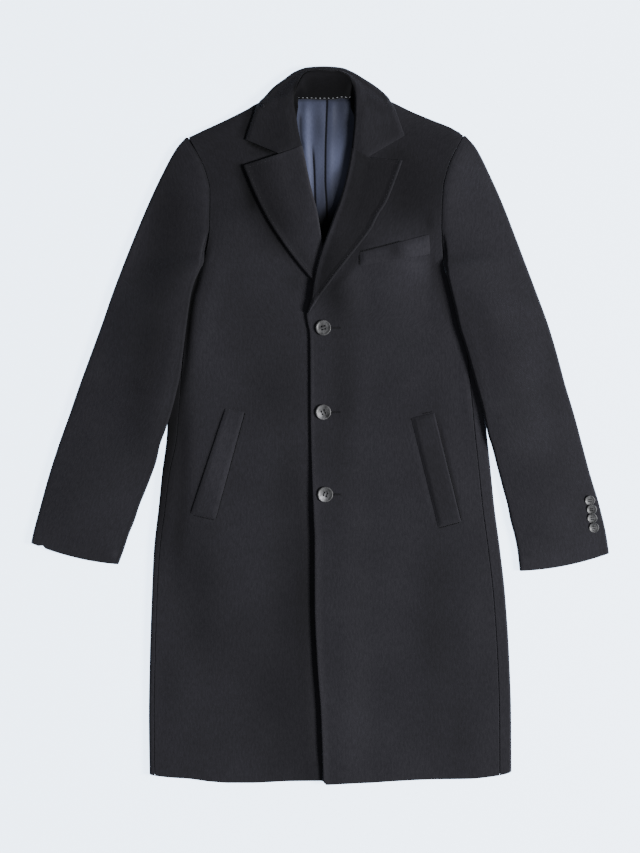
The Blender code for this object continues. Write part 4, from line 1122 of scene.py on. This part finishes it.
def satin(name, colour):
    """Smooth woven satin: low, soft gloss across its threads, with painted light and shade by the attribute
    "tone", which also makes it rougher where it is darker.
    """
    material, tree, sockets = plain(name, {"Specular IOR Level": 0.15})
    weft = noise(tree, drawn_out(tree, grain_map(tree), 0.12), 1500.0, 2.0)
    deep = own_tone(tree)
    light = math_of(tree, "MULTIPLY", ranged(tree, weft, 0.3, 0.7, 0.86, 1.14), deep)
    coloured(tree, sockets, shaded(tree, colour, light), weft, 0.15, 0.0002)
    tree.links.new(ranged(tree, deep, 0.0, 0.7, 1.0, 0.52), sockets["Roughness"])
    return material


def lining():
    """Grid of the lining's mid-surface and its tone of painted light and shade: flat on the back, with pleats
    as narrow troughs and folds as low waves."""
    y = spread(221.0, 70) + 270
    left = through(ROLL_LINE[RIGHT], np.minimum(y, 440)) - 14
    right = through(ROLL_LINE[LEFT], np.minimum(y, 440)) + 14
    right = right + 2 * ease((y - 440) / 20)
    u = spread(right - left, 150)
    x = left[:, None] + u
    y = y[:, None] + 0 * x
    centre, second, third = (through(line, y) for line in PLEATS)
    low, high = ease((440 - y) / 40), ease((y - 380) / 40)
    folds = 0.9 * bell(x - centre - 7, 5) + 0.9 * bell(x - second + 9, 4.5) * low
    folds += 0.9 * bell(x + 22, 5) * high + 0.4 * bell(x - second - 6, 5)
    folds += 0.25 * np.sin(x / 2.9 + y / 60) * ease((y - 400) / 50)
    lines = np.exp(-(((x - centre) / 1.8) ** 4)), np.exp(-(((x - second) / 1.9) ** 4)) * ease((428 - y) / 30)
    small = bell(x - third, 2.2) * ease((470 - y) / 14) * ease((y - 405) / 20)
    ends = ease((y - 275) / 30) * ease((491 - y) / 14)
    sunk = 0.3 * (lines[0] + lines[1] + small)
    z = CLOTH + SEAM + SATIN / 2 + neck_lift(y) + (folds - sunk + 1.2) * ends
    # Painted shade: dark pleat lines and crease, darker low down and at the top, the lapel's shadow, lanes
    tone = (1 - 0.96 * lines[0]) * (1 - 0.96 * lines[1]) * (1 - 0.62 * small) * ease((y - 300) / 62)
    starts, run = np.moveaxis(through(LINING_SHADE, y), -1, 0)
    tone = tone * (1 - 0.5 * ease((x - starts) / run + 0.1)) * (1 - 0.42 * ease((y - 482) / 5))
    tone = tone * painted_light_patches(x, y, PAINTED_LINING_LIGHT)
    return np.dstack([x, y, z]), tone


slate = satin("slate satin", SLATE)
lining_mid, tone = lining()
lining_piece = cloth("lining_panel", lining_mid, SATIN, (0.5, 0.5, 0.5, 0.5), slate, tone)
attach(lining_piece, "root")
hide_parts("back_lining")

# ---- Pocket welts -----------------------------------------------------------------------------------------
# Bands of doubled cloth, seamed along one side and tacked at the ends, lying on the fronts. Each is thinned
# towards its sides, and its tacks and edge stitches are sewn in black; the black edge stitching also draws
# painted shade along the welts' edges.
WELT = 2.0  # thickness
SEWN = 5  # how far in from its long sides it dips
TACKING = (2.6, 2.5, 1.1)  # its stitches: one every, length, width
# Corners bottom-left, bottom-right, top-right, top-left: x, y; share of the thickness left at each side:
# left, right, bottom, top
WELTS = {
    "chest_welt": (((60, 239), (165, 257), (163, 286), (60, 259)), (0.25, 0.5, 0.3, 0.4)),
    "hip_welt_left": (((177, -152), (211, -143), (171, 19), (136.5, 11)), (0.1, 0.8, 0.4, 0.3)),
    "hip_welt_right": (((-193.5, -131), (-156, -140), (-112.5, 21), (-141.8, 25.5)), (0.55, 0.4, 0.4, 0.3)),
}


def welt_grid(corners, shares):
    """Mid-surface of a welt and its thickness: the quadrilateral laid on its front, thinned to its sides."""
    corners = np.array(corners, float)
    wide = np.linalg.norm(corners[1] - corners[0])
    tall = np.linalg.norm(corners[3] - corners[0])
    u = (spread(wide, int(wide / 1.6)) / wide)[None, :, None]
    v = (spread(tall, int(tall / 3)) / tall)[:, None, None]
    low = corners[0] + (corners[1] - corners[0]) * u
    high = corners[3] + (corners[2] - corners[3]) * u
    plan = low + (high - low) * v
    thick = WELT - 0.2 * bell(np.minimum(u, 1 - u) * wide - SEWN, 1.2)[..., 0]
    for share, run in zip(shares, (u * wide, (1 - u) * wide, v * tall, (1 - v) * tall)):
        thick = thick * (share + (1 - share) * ease(run[..., 0] / 6))
    base = (left_base if corners[:, 0].mean() > 0 else right_base)(plan[..., 0], plan[..., 1])
    return np.dstack([plan, base + CLOTH + SEAM + thick / 2]), thick


# Painted light and shade on them: x, y, half width, half height, gain
PAINTED_WELT_LIGHT = (
    (145, 266, 22, 22, 0.7), (86, 256, 18, 16, 0.18), (113, 262, 7, 12, -0.3), (-150, -50, 20, 70, 0.3),
    (173, -66, 60, 110, -0.26), (148, 6, 8, 10, -0.2),
)

for name, (corners, shares) in WELTS.items():
    mid, thick = welt_grid(corners, shares)
    tone = painted_light_patches(mid[..., 0], mid[..., 1], PAINTED_WELT_LIGHT)
    # Painted highlight along the left hip welt's outer edge
    if name == "hip_welt_left":  # the light catches its outer edge
        run = lengths(mid, 1)
        tone = tone * (1 + 0.45 * bell(run[:, -1:] - run - 1.2, 1.3))
    piece = cloth(name + "_band", mid, thick, (1.6, 1.6, 1.6, 1.6), charcoal, tone)
    side = "left" if corners[0][0] > 0 else "right"
    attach(piece, "root")
    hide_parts(name)
    size = (0.035, 0.166) if name != "chest_welt" else (0.106, 0.03)

# Bar tacks at the ends, and edge stitching that also draws painted shade along welt edges: x, y from and to
TACKS = (
    (59.2, 241, 59.2, 254), (61, 260.3, 120, 275.7), (135.5, 9, 143, 11), (154, 17.5, 168, 20.5),
    (179, -153.2, 209, -145.2), (-188, -134.5, -158, -141.5), (-111.8, 19, -155, -139),
    (172, 17, 211.8, -142),
)


def on_front(x, y):
    """Upper side of the fronts' cloth."""
    x, y = np.asarray(x, float), np.asarray(y, float)
    return np.where(x > 0, left_base(x, y), right_base(x, y)) + CLOTH


tacks = []
for x0, y0, x1, y1 in TACKS:
    x, y = np.linspace(x0, x1, 60), np.linspace(y0, y1, 60)
    tacks.append(np.stack([x, y, on_front(x, y) + 0.6], axis=-1))
bars = stitches("welt_tacks", tacks, *TACKING, dark_thread)
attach(bars, "root")

# ---- Buttons ----------------------------------------------------------------------------------------------
# Turned horn buttons with a raised rim, a dished middle and four drilled holes, sewn on with doubled
# thread. Three fasten the front; four small ones overlap like tiles at the left cuff.
BUTTON = (23.0, 2.7)  # width, thickness
CUFF_BUTTON = (15.0, 2.0)
# Places: x, y, turn of the holes, share of painted reflection
FRONT_BUTTONS = ((5, 146, 13, 0.3), (5, 20, 114, 4), (8, -103, 71, 7))
CUFF_BUTTONS = (
    (403.6, -112, -3, 1.2), (406.2, -125.5, 4, 0.3), (407, -138.6, 8, 0.3), (409.6, -152.6, 0, 1.2),
)
CUFF_TILT = 9.0  # each cuff button leans on the next one up
CUFF_SEAT = 2 * FOLD + 1.0  # height of a cuff button's underside in its middle
# Painted reflection on the horn, palest towards each button's lower left:
PAINTED_GLARE = 0.42  # share of the radius: how far off each way the pale side's middle lies, and its half width
RINGS, SPOKES = 45, 72  # rows and columns of a button's mesh
HOLES = (0.29, 0.11)  # share of the radius: how far the holes lie from the middle, and their radius
HORN_GREYS = ((0.13, (0.008, 0.008, 0.009)), (0.36, (0.07, 0.07, 0.073)))  # strength of the streaks, colour
# Half section: row, share of the radius, share of the thickness
BUTTON_SECTION = (
    (0, 0.001, 0.0), (1, 0.6, 0.02), (2, 0.88, 0.16), (3, 0.985, 0.42), (4, 0.992, 0.78), (5, 0.96, 0.95),
    (6, 0.9, 1.0), (7, 0.83, 0.93), (8, 0.74, 0.76), (9, 0.6, 0.6), (10, 0.38, 0.5), (11, 0.001, 0.47),
)


def polished_horn(name):
    """Polished horn: grey, with darker streaks running one way, lighter cloudy patches, and in some buttons a
    painted reflection that pales one side, by the attribute "tone"."""
    material, tree, sockets = plain(name, {"Roughness": 0.5, "Coat Weight": 0.08, "Coat Roughness": 0.3})
    where = add(tree, "ShaderNodeTexCoord").outputs["Object"]
    streak = noise(tree, drawn_out(tree, where, 0.3, Rotation=(0, 0, 0.6)), 420.0, 3.0, Distortion=1.2)
    both = math_of(tree, "MULTIPLY", streak, noise(tree, where, 120.0, 2.0))
    colour = add(tree, "ShaderNodeValToRGB", i0=both)
    for stop, (at, grey) in zip(colour.color_ramp.elements, HORN_GREYS):
        stop.position, stop.color = at, (*grey, 1)
    coloured(tree, sockets, shaded(tree, colour.outputs[0], own_tone(tree)))
    return material


def drill(piece, radius, thick, turn):
    """Cuts the four holes, by an exact difference with four cylinders that is then made the mesh itself."""
    around = np.linspace(0, math.tau, 25)[:-1]
    points, quads = [], []
    cutter = bpy.data.meshes.new("holes")
    for hx, hy in ((1, 1), (-1, 1), (-1, -1), (1, -1)):
        first = len(points)
        a = math.atan2(hy, hx) + math.radians(turn)
        x = radius * (HOLES[0] * math.cos(a) + HOLES[1] * np.cos(around)) * MM
        y = radius * (HOLES[0] * math.sin(a) + HOLES[1] * np.sin(around)) * MM
        points += [(px, py, z * thick * MM) for z in (-1, 2) for px, py in zip(x, y)]
        n = len(around)
        quads += [[first + k for k in range(n)][::-1], [first + n + k for k in range(n)]]
        quads += [[first + k, first + (k + 1) % n, first + n + (k + 1) % n, first + n + k] for k in range(n)]
    cutter.from_pydata(points, [], quads)
    tool = linked("holes", cutter)
    cut = piece.modifiers.new("holes", "BOOLEAN")
    cut.operation = "DIFFERENCE"
    cut.solver = "EXACT"
    cut.object = tool
    uncut = piece.data
    piece.data = bpy.data.meshes.new_from_object(piece.evaluated_get(bpy.context.evaluated_depsgraph_get()))
    piece.modifiers.clear()
    bpy.data.objects.remove(tool, do_unlink=True)
    bpy.data.meshes.remove(uncut)
    bpy.data.meshes.remove(cutter)
    piece.data.set_sharp_from_angle(angle=math.radians(50))


def button(name, size, place, turn, pale, tilt=0.0):
    """Lathe of the half section, its two ends closed, drilled, then leaned and set in place. A painted
    reflection makes the horn paler by a share that fades away from its lower left."""
    radius, thick = size[0] / 2, size[1]
    section = through(BUTTON_SECTION, np.linspace(0, 11, RINGS))
    a = np.linspace(0, math.tau, SPOKES + 1)[:-1]
    ring = np.stack([np.cos(a), np.sin(a)], axis=-1)
    points = np.concatenate([
        section[:, None, :1] * radius * ring,
        np.broadcast_to(section[:, None, 1:] * thick, (RINGS, SPOKES, 1)),
    ], axis=-1).reshape(-1, 3) * MM
    k = np.arange(RINGS * SPOKES).reshape(RINGS, SPOKES)
    around = np.roll(k, -1, axis=1)
    quads = np.stack([k[:-1], around[:-1], around[1:], k[1:]], axis=-1).reshape(-1, 4)
    mesh = bpy.data.meshes.new(name)
    mesh.from_pydata(points.tolist(), [], quads.tolist() + [k[0, ::-1].tolist(), k[-1].tolist()])
    mesh.polygons.foreach_set("use_smooth", np.ones(len(mesh.polygons), bool))
    mesh.materials.append(horn)
    piece = linked(name, mesh)
    drill(piece, radius, thick, turn)
    at = np.zeros(len(piece.data.vertices) * 3, np.float32)
    piece.data.vertices.foreach_get("co", at)
    at = at.reshape(-1, 3) / MM
    away = np.linalg.norm(at[:, :2] / radius + (PAINTED_GLARE, PAINTED_GLARE), axis=1)
    tone = piece.data.attributes.new("tone", "FLOAT", "POINT")
    tone.data.foreach_set("value", (1 + pale * bell(away, PAINTED_GLARE)).astype(np.float32))
    piece.data.vertices.foreach_set("co", set_down(at, place, tilt).astype(np.float32).ravel() * MM)
    piece.data.update()
    return piece


def set_down(at, place, tilt):
    """Points turned about x by the tilt, then moved to their place."""
    lean = math.radians(tilt)
    x, y, z = np.moveaxis(np.asarray(at, float), -1, 0)
    turned = (x, y * math.cos(lean) - z * math.sin(lean), y * math.sin(lean) + z * math.cos(lean))
    return np.stack(turned, axis=-1) + np.array(place)


def sewn_on(size, place, turn, tilt=0.0):
    """The two bars of thread from hole to hole, lying in the dish."""
    radius, thick = size[0] / 2, size[1]
    a = math.radians(turn)
    half, level = HOLES[0] * radius * math.sqrt(0.5), 0.55 * thick
    ends = [[(-half, row, level), (half, row, level)] for row in (half, -half)]
    spin = lambda x, y, z: (x * math.cos(a) - y * math.sin(a), x * math.sin(a) + y * math.cos(a), z)
    return [set_down([spin(*end) for end in bar], place, tilt) for bar in ends]


horn = polished_horn("grey horn")
fronts, cuffs = [], []
for number, (x, y, turn, pale) in enumerate(FRONT_BUTTONS, 1):
    around = np.linspace(0, math.tau, 24)
    seat = left_base(x + 10 * np.cos(around), y + 10 * np.sin(around)).max() + CLOTH
    piece = button(f"front_button_{number}", BUTTON, (x, y, seat + 0.1), turn, pale)
    fronts += sewn_on(BUTTON, (x, y, seat + 0.1), turn)
    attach(piece, "root")
    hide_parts(f"button_front_{number}")
for number, (x, y, turn, pale) in enumerate(CUFF_BUTTONS, 1):
    piece = button(f"cuff_button_{number}", CUFF_BUTTON, (x, y, CUFF_SEAT), turn, pale, CUFF_TILT)
    cuffs += sewn_on(CUFF_BUTTON, (x, y, CUFF_SEAT), turn, CUFF_TILT)
    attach(piece, "root")
    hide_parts(f"button_cuff_{number}")
for name, bars, length, width in (("front", fronts, 6.2, 1.0), ("cuff", cuffs, 4.4, 0.8)):
    piece = stitches(name + "_button_threads", bars, 9.0, length, width, dark_thread)
    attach(piece, "root")

# ---- Studio -----------------------------------------------------------------------------------------------
# Pale floor that gives off some light of its own, a broad light from the wearer's left and a weak one across
# from it, and a camera straight above, whose picture has 853 rows of 1.5 mm.
floor_material = plain("pale floor", {
    "Base Color": (0.6, 0.63, 0.66, 1), "Emission Color": (0.66, 0.80, 1.0, 1), "Emission Strength": 4.6,
    "Roughness": 0.9,
})[0]
corners = [(x, y, -0.0005) for x, y in ((-6, -6), (6, -6), (6, 6), (-6, 6))]
floor = shaped("floor", corners, np.array([[0, 1, 2, 3]]), floor_material)

world = bpy.data.worlds.new("studio")
bpy.context.scene.world = world
world.use_nodes = True
background = world.node_tree.nodes["Background"].inputs
background["Color"].default_value = (0.92, 0.96, 1.0, 1)
background["Strength"].default_value = 0.32

for name, place, size, power in (("key", (4.2, -0.6, 2.75), 1.3, 650), ("fill", (-1.8, -0.6, 2.6), 2.0, 8)):
    lamp = bpy.data.lights.new(name, "AREA")
    lamp.size = size
    lamp.energy = power
    light = linked(name, lamp)
    light.location = place
    light.rotation_euler = (-light.location).to_track_quat("-Z", "Y").to_euler()

SENSOR = 36.0
CAMERA_UP = 3.0  # m
VIEW = 853 * 1.5 * MM  # length that the picture shows from top to bottom
lens = bpy.data.cameras.new("camera")
lens.sensor_fit = "VERTICAL"
lens.sensor_height = lens.sensor_width = SENSOR
lens.lens = SENSOR * CAMERA_UP / VIEW
camera = linked("camera", lens)
camera.location = (0, -0.0015, CAMERA_UP)
bpy.context.scene.camera = camera
